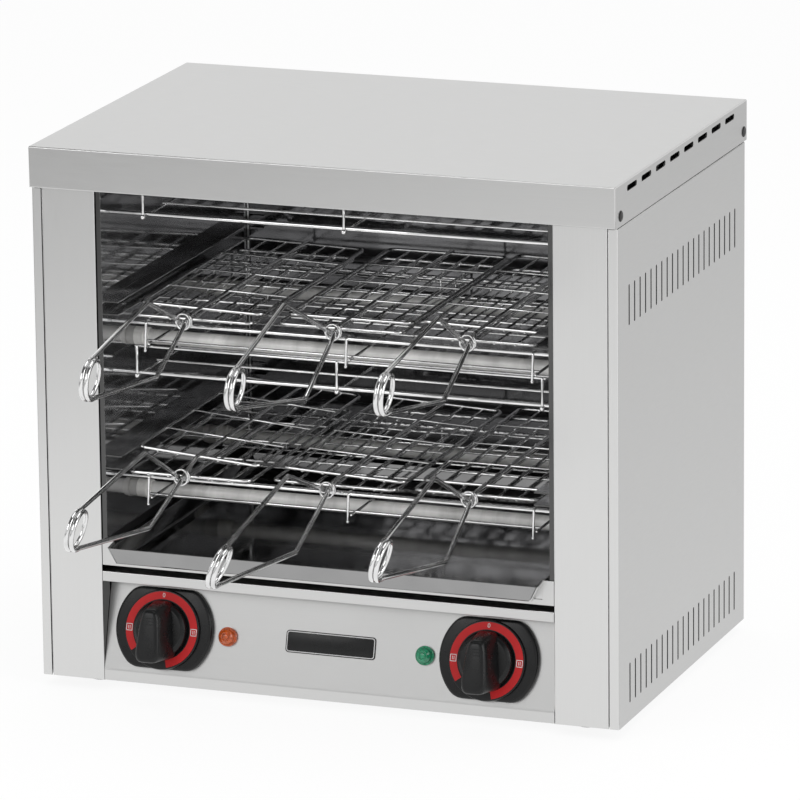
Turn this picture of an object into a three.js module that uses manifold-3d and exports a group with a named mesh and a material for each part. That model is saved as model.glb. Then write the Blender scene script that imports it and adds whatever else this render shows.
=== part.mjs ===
import * as THREE from 'three';
import { mergeVertices } from 'three/addons/utils/BufferGeometryUtils.js';
import Module from 'manifold-3d';

// A two-level countertop toaster in folded stainless steel, with six sandwich tongs.
// Millimetres, +Z up, the open front faces -Y. Heights are measured from the casing's
// lower edge and depths from the front face of its uprights; the finished group is then
// set on its feet, with its origin under the middle of the whole object.

// Casing
const casingWidth = 450;
const casingDepth = 300;
const casingHeight = 402;
const sheet = 1;
const fitGap = 0.3;
const cutOverrun = 2;
const footHeight = 8;
const footRadius = 12;
const footInset = 34;

// Lid
const lidSkirt = 30.7;
const lidFrontOverhang = 5;
const lidBackOverhang = 5;
const lidSlotCount = 8;
const lidSlotInset = 35;
const lidSlotShift = 3;
const lidSlotLength = 22;
const lidSlotHeight = 4.2;
const lidSlotDrop = 6.3;
const lidTongue = 16;

// Uprights beside the opening, and the side and back panels
const uprightWidth = 41;
const uprightReturn = 14;
const seam = 1;
const sideReturn = 7;
const backReturn = 12;
const lidSeam = 0.8;
const louvreCount = 21;
const louvreInset = 25;
const louvreWidth = 2.4;
const louvreLength = 30;
const louvreUpperDrop = 77;
const louvreLowerTop = 43.8;

// Control panel, leaning back under a square lip
const panelSkirt = 8.5;
const panelRecess = 18;
const lipBottom = 76;
const lipHeight = 8;
const lipReturn = 24;

// Toasting chamber
const chamberSideGap = 4;
const chamberBackGap = 8;
const chamberLidGap = 17;
const floorTop = 92.6;
const floorRim = 4.1;
const floorSetback = 0.5;
const gussetTop = 107;
const gussetWidth = 8.9;
const linerSetback = 1.8;
const railDepth = 12;
const railHeight = 10.5;
const railAboveSupport = 8;
const railSetback = 3;
const railEndGap = 5;

// Crumb tray, a shallow pan with sloping walls
const traySideGap = 6;
const trayBackGap = 16;
const trayHeight = 12;
const trayDraft = 6;
const trayFrontDraft = 2;
const trayProud = 11;

// Heating rows: quartz tubes with ceramic end caps
const lowRowRise = 38.4;
const midRowShare = 0.4936;
const topRowDrop = 18;
const tubeRadius = 5.5;
const tubeInset = 66;
const capRadius = 6.8;
const capLength = 11;
const capOverhang = 7;

// Wire guards on rods that span the chamber: nets hooked over the rods that the tongs rest on,
// just above the tubes, and baskets clipped to rods of their own, just below them
const rodRadius = 1.6;
const rodInset = 20;
const rearSupportInset = 75;
const rodOverhang = 2;
const supportAboveTube = 22.3;
const basketRodBelowTube = 15.3;
const basketRimAboveTube = 4.6;
const basketNetInset = 62;
const basketNetWires = 5;
const basketRibShares = [ - 0.442, 0.012, 0.47 ];
const netAboveTube = 7;
const netInset = 25;
const netWires = 6;
const hookRibShares = [ - 0.42, 0.035, 0.45 ];
const hookTip = 4;
const hookProud = 0.6;
const guardWire = 2;
const guardOverhang = 2;
const topBasketShift = 7;
const weldBite = 0.3;

// Sandwich tongs
const tongColumns = 3;
const tongMargin = 23;
const tongWire = 3.5;
const handleLength = 180;
const armBend = 60;
const armRise = 31;
const armSpacing = 4.2;
const bendRadius = 6;
const coilRadius = 14;
const coilPitch = 3.8;
const coilTurns = 2.5;
const gridSpacing = 9;
const gridLength = 217;
const gridBorder = 2.6;
const gridWire = 1.8;
const gridThickness = 2.2;
const gridColumns = 6;
const gridRows = 4;
const gridRise = 3.2;
const gridDrop = 2.15;
const upperGridOffset = 28;
const lowerGridOffset = 19;
const armOverhang = 6;
const ringRadius = 5.6;
const ringWire = 2;

// Knobs, dial plates and pilot lights on the control panel
const controlShift = 3.1;
const knobHeight = 40.6;
const knobInset = 49.2;
const lampHeight = 39.7;
const lampInset = 99;
const dialRadius = 38;
const dialFlat = 30;
const dialRise = 0.8;
const dialEdge = 5;
const dialFaceRadius = 29;
const dialFaceHeight = 8.2;
const knobRadius = 20.5;
const knobDisc = 5;
const gripLength = 44;
const gripWidth = 15;
const gripTopWidth = 11;
const gripFlare = 1.5;
const gripSlope = 5;
const gripHeight = 22;
const shaftRadius = 3;
const shaftClearance = 0.5;
const shaftDepth = 9;
const switchWidth = 44;
const switchHeight = 38;
const switchDepth = 30;
const lampRadius = 7.2;
const lampDome = 5;
const lampCollar = 2.2;
const lampStem = 5.4;
const lampStemLength = 14;

// Cord gland in the back panel
const glandInset = 70;
const glandHeight = 36;
const glandRadius = 10;
const glandBore = 4;
const glandNeck = 7;
const glandProud = 9;
const glandDepth = 8;

// Segments of the round pieces
const rodSides = 6;
const tubeSides = 10;
const knobSides = 16;
const wireSides = 6;
const coilSides = 5;
const coilSteps = 8;

const wasm = await Module();
wasm.setup();

// Solids, joining and cutting

function solidOf( geometry ) {

	const bare = geometry.clone();
	bare.deleteAttribute( 'normal' );
	bare.deleteAttribute( 'uv' );
	const merged = mergeVertices( bare );
	return new wasm.Manifold( new wasm.Mesh( {
		numProp: 3,
		vertProperties: new Float32Array( merged.attributes.position.array ),
		triVerts: new Uint32Array( merged.index.array )
	} ) );

}

function geometryOf( solid ) {

	const mesh = solid.getMesh();
	const geometry = new THREE.BufferGeometry();
	geometry.setAttribute( 'position', new THREE.BufferAttribute( mesh.vertProperties, 3 ) );
	geometry.setIndex( new THREE.BufferAttribute( mesh.triVerts, 1 ) );
	geometry.computeVertexNormals();
	return geometry;

}

function join( geometries ) {

	const solids = geometries.map( solidOf );
	return geometryOf( solids.reduce( ( whole, piece ) => whole.add( piece ) ) );

}

function cut( geometry, cutters ) {

	const tools = cutters.map( solidOf );
	return geometryOf( tools.reduce( ( whole, tool ) => whole.subtract( tool ), solidOf( geometry ) ) );

}

function mirrored( geometry ) {

	const copy = geometry.index ? geometry.clone() : mergeVertices( geometry );
	copy.scale( - 1, 1, 1 );
	const index = copy.index.array;
	for ( let i = 0; i < index.length; i += 3 ) {

		[ index[ i ], index[ i + 1 ] ] = [ index[ i + 1 ], index[ i ] ];

	}

	copy.computeVertexNormals();
	return copy;

}

// Shapes

function box( [ x0, x1 ], [ y0, y1 ], [ z0, z1 ] ) {

	const geometry = new THREE.BoxGeometry( x1 - x0, y1 - y0, z1 - z0 );
	return geometry.translate( ( x0 + x1 ) / 2, ( y0 + y1 ) / 2, ( z0 + z1 ) / 2 );

}

function spanOf( middle, size ) {

	return [ middle - size / 2, middle + size / 2 ];

}

// What is left open between spans, from one end of a range to the other.
function gapsBetween( spans, [ from, to ] ) {

	const ends = [ from, ...spans.flat(), to ];
	return ends.filter( ( _, i ) => i % 2 === 0 ).map( ( end, i ) => [ end, ends[ 2 * i + 1 ] ] )
		.filter( ( [ a, b ] ) => b - a > fitGap );

}

// A flat lattice whose columns and rows are the given spans of its width and depth.
function lattice( columns, rows, width, depth, level ) {

	const through = [ level[ 0 ] - cutOverrun, level[ 1 ] + cutOverrun ];
	const windows = gapsBetween( columns, width ).flatMap( ( x ) =>
		gapsBetween( rows, depth ).map( ( y ) => box( x, y, through ) ) );
	return cut( box( width, depth, level ), windows );

}

// The outline of a folded sheet: a run of points and the same run one sheet to its right.
function foldedSheet( run, thickness = sheet ) {

	const points = run.map( ( [ x, y ] ) => new THREE.Vector2( x, y ) );
	const sides = points.slice( 1 ).map( ( point, i ) => point.clone().sub( points[ i ] ).normalize() );
	const inner = points.map( ( point, i ) => {

		const before = sides[ Math.max( i - 1, 0 ) ];
		const after = sides[ Math.min( i, sides.length - 1 ) ];
		const normal = new THREE.Vector2( before.y + after.y, - before.x - after.x ).normalize();
		const reach = thickness / ( normal.x * before.y - normal.y * before.x );
		return point.clone().addScaledVector( normal, reach );

	} );
	return new THREE.Shape( [ ...points, ...inner.reverse() ] );

}

function extrude( shape, depth ) {

	return new THREE.ExtrudeGeometry( shape, { depth, bevelEnabled: false, curveSegments: tubeSides } );

}

// Stands an outline drawn in depth and height across the width, from x0 to x1.
function acrossWidth( shape, x0, x1 ) {

	const turn = new THREE.Matrix4().makeBasis(
		new THREE.Vector3( 0, 1, 0 ), new THREE.Vector3( 0, 0, 1 ), new THREE.Vector3( 1, 0, 0 ) );
	return extrude( shape, x1 - x0 ).applyMatrix4( turn ).translate( x0, 0, 0 );

}

// Stands an outline drawn in width and height through the depth, from y0 to y1.
function throughDepth( shape, y0, y1 ) {

	return extrude( shape, y1 - y0 ).rotateX( Math.PI / 2 ).translate( 0, y1, 0 );

}

function rod( radius, length, sides = rodSides ) {

	return new THREE.CylinderGeometry( radius, radius, length, sides ).rotateZ( Math.PI / 2 );

}

function turned( profile, sides = knobSides ) {

	return new THREE.LatheGeometry( profile.map( ( [ r, h ] ) => new THREE.Vector2( r, h ) ), sides );

}

// A wire's run through chosen stations, which the extrusion visits one by one.
class WireRun extends THREE.Curve {

	constructor( stations ) {

		super();
		this.stations = stations;

	}

	getPointAt( u, target = new THREE.Vector3() ) {

		return target.copy( this.stations[ Math.round( u * ( this.stations.length - 1 ) ) ] );

	}

	getTangentAt( u, target = new THREE.Vector3() ) {

		const last = this.stations.length - 1;
		const index = Math.round( u * last );
		const here = this.stations[ index ];
		const forward = this.stations[ Math.min( index + 1, last ) ].clone().sub( here ).normalize();
		const backward = here.clone().sub( this.stations[ Math.max( index - 1, 0 ) ] ).normalize();
		return target.copy( forward ).add( backward ).normalize();

	}

}

function wire( stations, radius, sides ) {

	const section = Array.from( { length: sides }, ( _, i ) => {

		const angle = ( i + 0.5 ) / sides * 2 * Math.PI;
		return new THREE.Vector2( radius * Math.cos( angle ), radius * Math.sin( angle ) );

	} );
	const extrudePath = new WireRun( stations );
	return new THREE.ExtrudeGeometry( new THREE.Shape( section ), { extrudePath, steps: stations.length - 1 } );

}

// Replaces each inner corner of a run of points by a short curve.
function bent( corners, radius, steps = 2 ) {

	const stations = [ corners[ 0 ] ];
	for ( let i = 1; i < corners.length - 1; i ++ ) {

		const toward = corners[ i - 1 ].clone().sub( corners[ i ] );
		const away = corners[ i + 1 ].clone().sub( corners[ i ] );
		const turn = Math.PI - toward.angleTo( away );
		const reach = Math.min( radius * Math.tan( turn / 2 ), toward.length() / 2, away.length() / 2 );
		const start = corners[ i ].clone().addScaledVector( toward.normalize(), reach );
		const end = corners[ i ].clone().addScaledVector( away.normalize(), reach );
		stations.push( ...new THREE.QuadraticBezierCurve3( start, corners[ i ], end ).getPoints( steps ) );

	}

	return [ ...stations, corners.at( - 1 ) ];

}

function point( x, y, z ) {

	return new THREE.Vector3( x, y, z );

}

// Where the pieces of an even row stand, from its first place to its last.
function spread( count, from, to ) {

	return Array.from( { length: count }, ( _, i ) => from + i / ( count - 1 ) * ( to - from ) );

}

// Materials

function metal( color, roughness ) {

	return new THREE.MeshStandardMaterial( { color, roughness, metalness: 1 } );

}

function plastic( color, roughness ) {

	return new THREE.MeshStandardMaterial( { color, roughness, metalness: 0 } );

}

const brushedSteel = () => metal( 0xcfcfcd, 0.36 );
const brightLiner = () => metal( 0x8d8d8e, 0.16 );
const zincSteel = () => metal( 0x9fa2a4, 0.5 );
const chromeWire = () => metal( 0xd8d8d8, 0.12 );
const springSteel = () => metal( 0xe2e2e0, 0.1 );
const milkyQuartz = () => plastic( 0xd9d6cf, 0.35 );
const blackPlastic = () => plastic( 0x17181a, 0.42 );
const darkPlastic = () => plastic( 0x26282a, 0.6 );
const greyRubber = () => plastic( 0x1c1c1c, 0.85 );
const orangeLens = () => plastic( 0xd8491c, 0.2 );
const greenLens = () => plastic( 0x189a58, 0.2 );

const toaster = new THREE.Group();

function add( name, geometry, material, parent = toaster ) {

	const piece = new THREE.Mesh( geometry, material );
	piece.name = name;
	parent.add( piece );
	return piece;

}

// Places that several pieces share
const halfWidth = casingWidth / 2;
const uprightEdge = halfWidth - sideReturn - seam;
const halfOpening = uprightEdge - uprightWidth;
const halfChamber = halfOpening - chamberSideGap;
const chamberWidth = 2 * halfChamber;
const chamberDepth = casingDepth - chamberBackGap;
const chamberTop = casingHeight - chamberLidGap;
const skirtBottom = casingHeight - lidSkirt;
const underLid = casingHeight - sheet - fitGap;
const lowRow = floorTop + lowRowRise;
const topRow = chamberTop - topRowDrop;
const rowHeights = { low: lowRow, mid: lowRow + midRowShare * ( topRow - lowRow ), top: topRow };
const supportHeights = [ rowHeights.low + supportAboveTube, rowHeights.mid + supportAboveTube ];
const supportPlaces = [ rodInset, chamberDepth - rearSupportInset ];
const basketRodPlaces = [ rodInset, chamberDepth - rodInset ];
const tubePlaces = [ tubeInset, chamberDepth - tubeInset ];

// Lid: a shallow folded cover with a row of slots in each side skirt, a little nearer the front.
function lid() {

	const outer = box( [ - halfWidth, halfWidth ], [ - lidFrontOverhang, casingDepth + lidBackOverhang ],
		[ skirtBottom, casingHeight ] );
	const hollow = box( [ - halfWidth + sheet, halfWidth - sheet ],
		[ sheet - lidFrontOverhang, casingDepth + lidBackOverhang - sheet ],
		[ skirtBottom - cutOverrun, casingHeight - sheet ] );
	const slotTop = casingHeight - lidSlotDrop + lidSlotHeight / 2;
	const slots = spread( lidSlotCount, lidSlotInset, casingDepth - lidSlotInset ).map( ( y ) =>
		box( [ - halfWidth - cutOverrun, halfWidth + cutOverrun ],
			[ y - lidSlotLength / 2 - lidSlotShift, y + lidSlotLength / 2 - lidSlotShift ],
			[ slotTop - lidSlotHeight, slotTop ] ) );
	return cut( outer, [ hollow, ...slots ] );

}

// Side panel: a flat panel that steps in under the lid, folded round at the front and back.
function sidePanel() {

	const top = skirtBottom - lidSeam;
	const stepIn = halfWidth - sheet - fitGap;
	const panel = throughDepth( foldedSheet( [
		[ stepIn, top + lidTongue ], [ stepIn, top ], [ halfWidth, top ], [ halfWidth, 0 ]
	] ), 0, casingDepth );
	const front = box( [ halfWidth - sideReturn, halfWidth - sheet / 2 ],
		[ 0, sheet ], [ 0, top - sheet / 2 ] );
	const back = box( [ halfWidth - backReturn, halfWidth - sheet / 2 ],
		[ casingDepth - sheet, casingDepth ], [ 0, top - sheet / 2 ] );
	const cuts = [ casingHeight - louvreUpperDrop, louvreLowerTop ].flatMap( ( slotTop ) =>
		spread( louvreCount, louvreInset, casingDepth - louvreInset ).map( ( y ) =>
			box( [ halfWidth - sheet - cutOverrun, halfWidth + cutOverrun ],
				[ y - louvreWidth / 2, y + louvreWidth / 2 ], [ slotTop - louvreLength, slotTop ] ) ) );
	return cut( join( [ panel, front, back ] ), cuts );

}

// Upright beside the opening: a channel whose flanges point inwards.
function upright() {

	const run = [
		[ uprightEdge, uprightReturn ], [ uprightEdge, 0 ], [ halfOpening, 0 ], [ halfOpening, uprightReturn ]
	];
	return extrude( foldedSheet( run ), underLid );

}

// Control panel: skirt, leaning face and square lip in one folded sheet.
const panelLean = Math.atan2( panelRecess, lipBottom - panelSkirt );
const lipTop = lipBottom + lipHeight;
const knobPlace = halfOpening - knobInset;
const lampPlace = halfOpening - lampInset;

// Places geometry drawn on the leaning face, with +Z out of the panel, at x along the panel and
// a height on it. The controls sit a little to the left of the middle.
function onPanel( geometry, x, height ) {

	const leaning = geometry.rotateX( Math.PI / 2 - panelLean );
	return leaning.translate( x - controlShift, panelFaceDepth( height ), height );

}

function panelFaceDepth( height ) {

	return ( height - panelSkirt ) * Math.tan( panelLean );

}

function controlPanel() {

	const run = [
		[ uprightReturn, 0 ], [ 0, 0 ], [ 0, panelSkirt ], [ panelRecess, lipBottom ],
		[ 0, lipBottom ], [ 0, lipTop ], [ lipReturn, lipTop ]
	];
	const reach = halfOpening - fitGap;
	const folded = acrossWidth( foldedSheet( run ), - reach, reach );
	const holeDepth = 2 * ( sheet + cutOverrun );
	const hole = ( radius ) =>
		new THREE.CylinderGeometry( radius, radius, holeDepth, tubeSides ).rotateX( Math.PI / 2 );
	const shaftHoles = [ - knobPlace, knobPlace ].map( ( x ) =>
		onPanel( hole( shaftRadius + 2 * shaftClearance ), x, knobHeight ) );
	const lampHoles = [ - lampPlace, lampPlace ].map( ( x ) =>
		onPanel( hole( lampStem + fitGap ), x, lampHeight ) );
	return cut( folded, [ ...shaftHoles, ...lampHoles ] );

}

// Casing pieces

add( 'top_cover', lid(), brushedSteel() );
const rightSide = sidePanel();
add( 'right_side_panel', rightSide, brushedSteel() );
add( 'left_side_panel', mirrored( rightSide ), brushedSteel() );
const rightUpright = upright();
add( 'right_upright', rightUpright, brushedSteel() );
add( 'left_upright', mirrored( rightUpright ), brushedSteel() );
add( 'control_panel', controlPanel(), brushedSteel() );

const backEdge = halfWidth - backReturn - fitGap;
const glandPlace = halfWidth - glandInset;
const glandHole = new THREE.CylinderGeometry( glandNeck + fitGap, glandNeck + fitGap,
	2 * ( sheet + cutOverrun ), knobSides ).translate( glandPlace, casingDepth, glandHeight );
add( 'back_panel', cut( box( [ - backEdge, backEdge ], [ casingDepth - sheet, casingDepth ], [ 0, underLid ] ),
	[ glandHole ] ), brushedSteel() );

const baseEdge = halfWidth - sheet - fitGap;
add( 'base_plate', box( [ - baseEdge, baseEdge ],
	[ uprightReturn + fitGap, casingDepth - sheet - fitGap ], [ 0, sheet ] ), zincSteel() );

const footTaper = footRadius - sheet;
for ( const [ side, x ] of [ [ 'left', - 1 ], [ 'right', 1 ] ] ) {

	for ( const [ end, y ] of [ [ 'front', footInset ], [ 'back', casingDepth - footInset ] ] ) {

		const foot = new THREE.CylinderGeometry( footRadius, footTaper, footHeight - fitGap, knobSides );
		foot.rotateX( Math.PI / 2 ).translate( x * ( halfWidth - footInset ), y, - ( footHeight + fitGap ) / 2 );
		add( `${ side }_${ end }_foot`, foot, greyRubber() );

	}

}

// Chamber floor: a plate with a rim folded down in front and a gusset beside each end of the tray.
const floorEdge = halfOpening - fitGap;
const floorPlate = acrossWidth( foldedSheet( [
	[ floorSetback, floorTop - floorRim ], [ floorSetback, floorTop ], [ chamberDepth, floorTop ]
] ), - floorEdge, floorEdge );
const gusset = ( side ) => box( [ Math.min( side * floorEdge, side * ( floorEdge - gussetWidth ) ),
	Math.max( side * floorEdge, side * ( floorEdge - gussetWidth ) ) ],
[ floorSetback, floorSetback + sheet ], [ floorTop - sheet, gussetTop ] );
add( 'chamber_floor', join( [ floorPlate, gusset( - 1 ), gusset( 1 ) ] ), brushedSteel() );

// Side liner: a plate folded out beside the opening, with a pair of channel rails inside and
// holes for the rods and the heating tubes.
function sideLiner() {

	const base = floorTop + fitGap;
	const run = [
		[ halfOpening - fitGap, linerSetback ], [ halfChamber, linerSetback ], [ halfChamber, chamberDepth + sheet ]
	];
	const plate = extrude( foldedSheet( run ), chamberTop - base ).translate( 0, 0, base );
	const rails = supportHeights.flatMap( ( height ) => [ 0, railHeight - sheet ].map( ( rise ) => {

		const z = height + railAboveSupport + rise;
		return box( [ halfChamber - railDepth, halfChamber + sheet / 2 ],
			[ railSetback, chamberDepth - railEndGap ], [ z, z + sheet ] );

	} ) );
	const through = 2 * ( sheet + cutOverrun );
	const rodHole = ( y, z ) => rod( rodRadius + fitGap, through ).translate( halfChamber, y, z );
	const tubeHole = ( y, z ) => rod( capRadius + fitGap, through, tubeSides ).translate( halfChamber, y, z );
	const holes = [
		...Object.values( rowHeights ).flatMap( ( z ) => tubePlaces.map( ( y ) => tubeHole( y, z ) ) ),
		...supportHeights.flatMap( ( z ) => supportPlaces.map( ( y ) => rodHole( y, z ) ) ),
		...[ rowHeights.mid, rowHeights.top ].flatMap( ( z ) =>
			basketRodPlaces.map( ( y ) => rodHole( y, z - basketRodBelowTube ) ) )
	];
	return cut( join( [ plate, ...rails ] ), holes );

}

const rightLiner = sideLiner();
add( 'right_liner', rightLiner, brightLiner() );
add( 'left_liner', mirrored( rightLiner ), brightLiner() );

// Back liner and ceiling in one folded sheet.
const linerEdge = halfChamber - fitGap;
add( 'back_liner', acrossWidth( foldedSheet( [
	[ chamberDepth, floorTop + fitGap ], [ chamberDepth, chamberTop - sheet ], [ linerSetback, chamberTop - sheet ]
] ), - linerEdge, linerEdge ), brightLiner() );

// Crumb tray: a pan with drafted walls.
const trayWidth = chamberWidth - 2 * traySideGap;
const trayDepth = chamberDepth + trayProud - trayBackGap;

function pan( inset, bottom, top ) {

	const geometry = new THREE.BoxGeometry( 1, 1, 1 );
	const corners = geometry.attributes.position;
	for ( let i = 0; i < corners.count; i ++ ) {

		const low = corners.getZ( i ) < 0;
		const draft = low ? trayDraft : 0;
		const endDraft = low ? trayFrontDraft : 0;
		corners.setX( i, 2 * corners.getX( i ) * ( trayWidth / 2 - inset - draft ) );
		corners.setY( i, trayDepth / 2 - trayProud + 2 * corners.getY( i ) * ( trayDepth / 2 - inset - endDraft ) );
		corners.setZ( i, low ? bottom : top );

	}

	return geometry;

}

const trayBottom = floorTop + fitGap;
add( 'crumb_tray', cut( pan( 0, trayBottom, trayBottom + trayHeight ),
	[ pan( sheet, trayBottom + sheet, trayBottom + trayHeight + sheet ) ] ), brushedSteel() );

// Heating tubes, two to a row.
const tubeEnd = halfChamber + sheet + capOverhang;
const capStart = halfChamber - capLength;
const tubeProfile = [
	[ 0, - tubeEnd ], [ capRadius, - tubeEnd ], [ capRadius, - capStart ], [ tubeRadius, - capStart ],
	[ tubeRadius, capStart ], [ capRadius, capStart ], [ capRadius, tubeEnd ], [ 0, tubeEnd ]
];
for ( const [ row, height ] of Object.entries( rowHeights ) ) {

	tubePlaces.forEach( ( y, i ) => {

		const name = `${ row }_${ i ? 'back' : 'front' }_heating_tube`;
		const tube = add( name, turned( tubeProfile, tubeSides ), milkyQuartz() );
		tube.geometry.rotateZ( Math.PI / 2 );
		tube.position.set( 0, y, height );

	} );

}

// Wire guards
const rodEnd = halfChamber + sheet + rodOverhang;
const guardHalf = guardWire / 2;
const spanRod = ( y, z ) => rod( rodRadius, 2 * rodEnd ).translate( 0, y, z );

// A straight bar of square wire from a to b along one axis.
function bar( a, b ) {

	const low = a.clone().min( b ).subScalar( guardHalf );
	const high = a.clone().max( b ).addScalar( guardHalf );
	return box( [ low.x, high.x ], [ low.y, high.y ], [ low.z, high.z ] );

}

// A flat net: ribs that run back from one depth to another, and wires welded across them.
function net( ribs, front, back, wires, height ) {

	const spans = ( list ) => list.map( ( place ) => spanOf( place, guardWire ) );
	return lattice( spans( ribs ), spans( wires ), [ ribs[ 0 ] - guardOverhang, ribs.at( - 1 ) + guardOverhang ],
		[ front - guardHalf, back + guardHalf ], spanOf( height, guardWire ) );

}

// The net above a row of tubes. Its ribs turn up in front and near the back and hook over the
// rods that carry the tongs.
function upperGuard( tubeHeight ) {

	const ribs = hookRibShares.map( ( share ) => share * chamberWidth );
	const height = tubeHeight + netAboveTube;
	const support = tubeHeight + supportAboveTube;
	const aside = rodRadius + guardHalf - weldBite;
	const hookHeight = support + rodRadius + hookProud - guardHalf;
	const [ frontRod, backRod ] = supportPlaces;
	const wires = spread( netWires, netInset, chamberDepth - netInset );
	const hooks = ribs.flatMap( ( x ) => [ [ frontRod, - 1 ], [ backRod, 1 ] ].flatMap( ( [ y, way ] ) => [
		bar( point( x, y + way * aside, height ), point( x, y + way * aside, hookHeight ) ),
		bar( point( x, y + way * aside, hookHeight ), point( x, y - way * hookTip, hookHeight ) )
	] ) );
	return join( [ net( ribs, frontRod - aside, chamberDepth - netInset, wires, height ), ...hooks,
		...supportPlaces.map( ( y ) => spanRod( y, support ) ) ] );

}

// The basket below a row of tubes. Its ribs pass under its rods and stand up beside them, where
// they hold a rim wire. It can be slid along its rods.
function lowerGuard( tubeHeight, shift ) {

	const ribs = basketRibShares.map( ( share ) => share * chamberWidth + shift );
	const rodHeight = tubeHeight - basketRodBelowTube;
	const aside = rodRadius + guardHalf - weldBite;
	const height = rodHeight - aside;
	const rim = tubeHeight + basketRimAboveTube;
	const wires = spread( basketNetWires, basketNetInset, chamberDepth - basketNetInset );
	const [ frontRod, backRod ] = basketRodPlaces;
	const sides = [ [ frontRod, - 1 ], [ backRod, 1 ] ].flatMap( ( [ y, way ] ) => {

		const clip = y + way * aside;
		const rimPlace = clip - way * ( guardWire - weldBite );
		const [ rimStart, rimEnd ] = [ ribs[ 0 ] - guardOverhang, ribs.at( - 1 ) + guardOverhang ];
		return [
			bar( point( rimStart, rimPlace, rim ), point( rimEnd, rimPlace, rim ) ),
			...ribs.map( ( x ) => bar( point( x, clip, height ), point( x, clip, rim ) ) )
		];

	} );
	return join( [ net( ribs, frontRod - aside, backRod + aside, wires, height ), ...sides,
		...basketRodPlaces.map( ( y ) => spanRod( y, rodHeight ) ) ] );

}

add( 'top_lower_guard', lowerGuard( rowHeights.top, topBasketShift ), chromeWire() );
add( 'mid_upper_guard', upperGuard( rowHeights.mid ), chromeWire() );
add( 'mid_lower_guard', lowerGuard( rowHeights.mid, 0 ), chromeWire() );
add( 'low_upper_guard', upperGuard( rowHeights.low ), chromeWire() );

// Sandwich tongs. Each is drawn with its origin where the two arms cross inside the ring:
// one arm leaves the top of the spring, dips through the ring and carries the lower grid, the
// other leaves its bottom, climbs through the ring and carries the upper grid.
const tongPitch = ( chamberWidth - tongMargin ) / tongColumns;
const gridWidth = tongPitch - gridSpacing;

// How each tong is bent and lies at rest: its level, then shares of tongPitch (column), of
// handleLength (setback, lean), of armBend and armRise (lowerBend on the lower grid's arm,
// upperBend on the upper grid's), of coilRadius (coilLift), of gridDrop (drop) and of gridRise
// (rise), and the roll of its upper grid in degrees.
const tongRest = [
	{
		name: 'tong_1', level: 1, column: - 1.03, setback: 0.035, lean: 0.012, roll: 1.5,
		lowerBend: [ 1.08, 0.95 ], upperBend: [ 1.03, 0.87 ], coilLift: 0.05, drop: 1.45, rise: 1
	},
	{
		name: 'tong_2', level: 1, column: 0.03, setback: 0.075, lean: - 0.025, roll: 0,
		lowerBend: [ 1.42, 1.31 ], upperBend: [ 1, 1.14 ], coilLift: 0.1, drop: 1, rise: 1
	},
	{
		name: 'tong_3', level: 1, column: 1.01, setback: 0.05, lean: 0.02, roll: 1.2,
		lowerBend: [ 0.97, 1.05 ], upperBend: [ 1.02, 0.89 ], coilLift: 0.47, drop: 1.5, rise: 1.5
	},
	{
		name: 'tong_4', level: 0, column: - 1.03, setback: - 0.02, lean: - 0.04, roll: 4.5,
		lowerBend: [ 0.97, 1.07 ], upperBend: [ 1.04, 0.71 ], coilLift: 0.5, drop: 2.25, rise: 2.7
	},
	{
		name: 'tong_5', level: 0, column: 0, setback: 0.03, lean: - 0.07, roll: 2.4,
		lowerBend: [ 1.03, 0.84 ], upperBend: [ 0.98, 1.01 ], coilLift: - 0.75, drop: 1, rise: 1.25
	},
	{
		name: 'tong_6', level: 0, column: 1, setback: 0.07, lean: - 0.005, roll: 0,
		lowerBend: [ 1.1, 1.07 ], upperBend: [ 0.94, 1.02 ], coilLift: 0.2, drop: 1, rise: 1
	}
];

const coilHalfWidth = coilTurns * coilPitch / 2;
const armOffset = armSpacing / 2;

// One arm from the spring to the front edge of its grid; hand is +1 for the upper grid's arm.
function arm( hand, rest, height, end ) {

	const lean = ( y ) => rest.lean * Math.max( - y, 0 );
	const [ bendShare, riseShare ] = hand > 0 ? rest.upperBend : rest.lowerBend;
	const bend = bendShare * armBend;
	const rise = riseShare * armRise;
	const springEnd = tongWire + 2 * fitGap - handleLength;
	const corners = [
		point( lean( springEnd ) + hand * coilHalfWidth, springEnd, coilRadius * ( rest.coilLift - hand ) ),
		point( lean( - bend ) + hand * armOffset, - bend, - hand * rise ),
		point( hand * armOffset, hand * height * bend / rise, height ),
		point( hand * armOffset, end, height )
	];
	return wire( bent( corners, bendRadius ), tongWire / 2, wireSides );

}

// A flat grid of welded wire in a heavier frame, drawn in its own plane. The arm's wire runs on
// along its middle and past its far edge by the overhang.
function grid( start, overhang ) {

	const end = start + gridLength;
	const edge = gridWidth / 2;
	const lines = ( gaps, from, to, wires ) => spread( gaps + 1, from + gridBorder / 2, to - gridBorder / 2 )
		.map( ( place, i ) => spanOf( place, wires[ i ] ?? ( i % gaps ? gridWire : gridBorder ) ) );
	const columns = lines( gridColumns, - edge, edge, { [ gridColumns / 2 ]: tongWire } );
	const rows = lines( gridRows, start, end, {} );
	const level = spanOf( 0, gridThickness );
	return join( [ lattice( columns, rows, [ - edge, edge ], [ start, end ], level ),
		box( spanOf( 0, tongWire ), [ end - gridBorder, end + overhang ], level ) ] );

}

// A jaw: the arm and the grid that is welded to it.
function jaw( hand, rest, height, start, overhang ) {

	const roll = hand > 0 ? THREE.MathUtils.degToRad( rest.roll ) : 0;
	const plane = grid( start, overhang ).rotateY( roll ).translate( hand * armOffset, 0, height );
	return join( [ arm( hand, rest, height, start + gridBorder ), plane ] );

}

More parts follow.
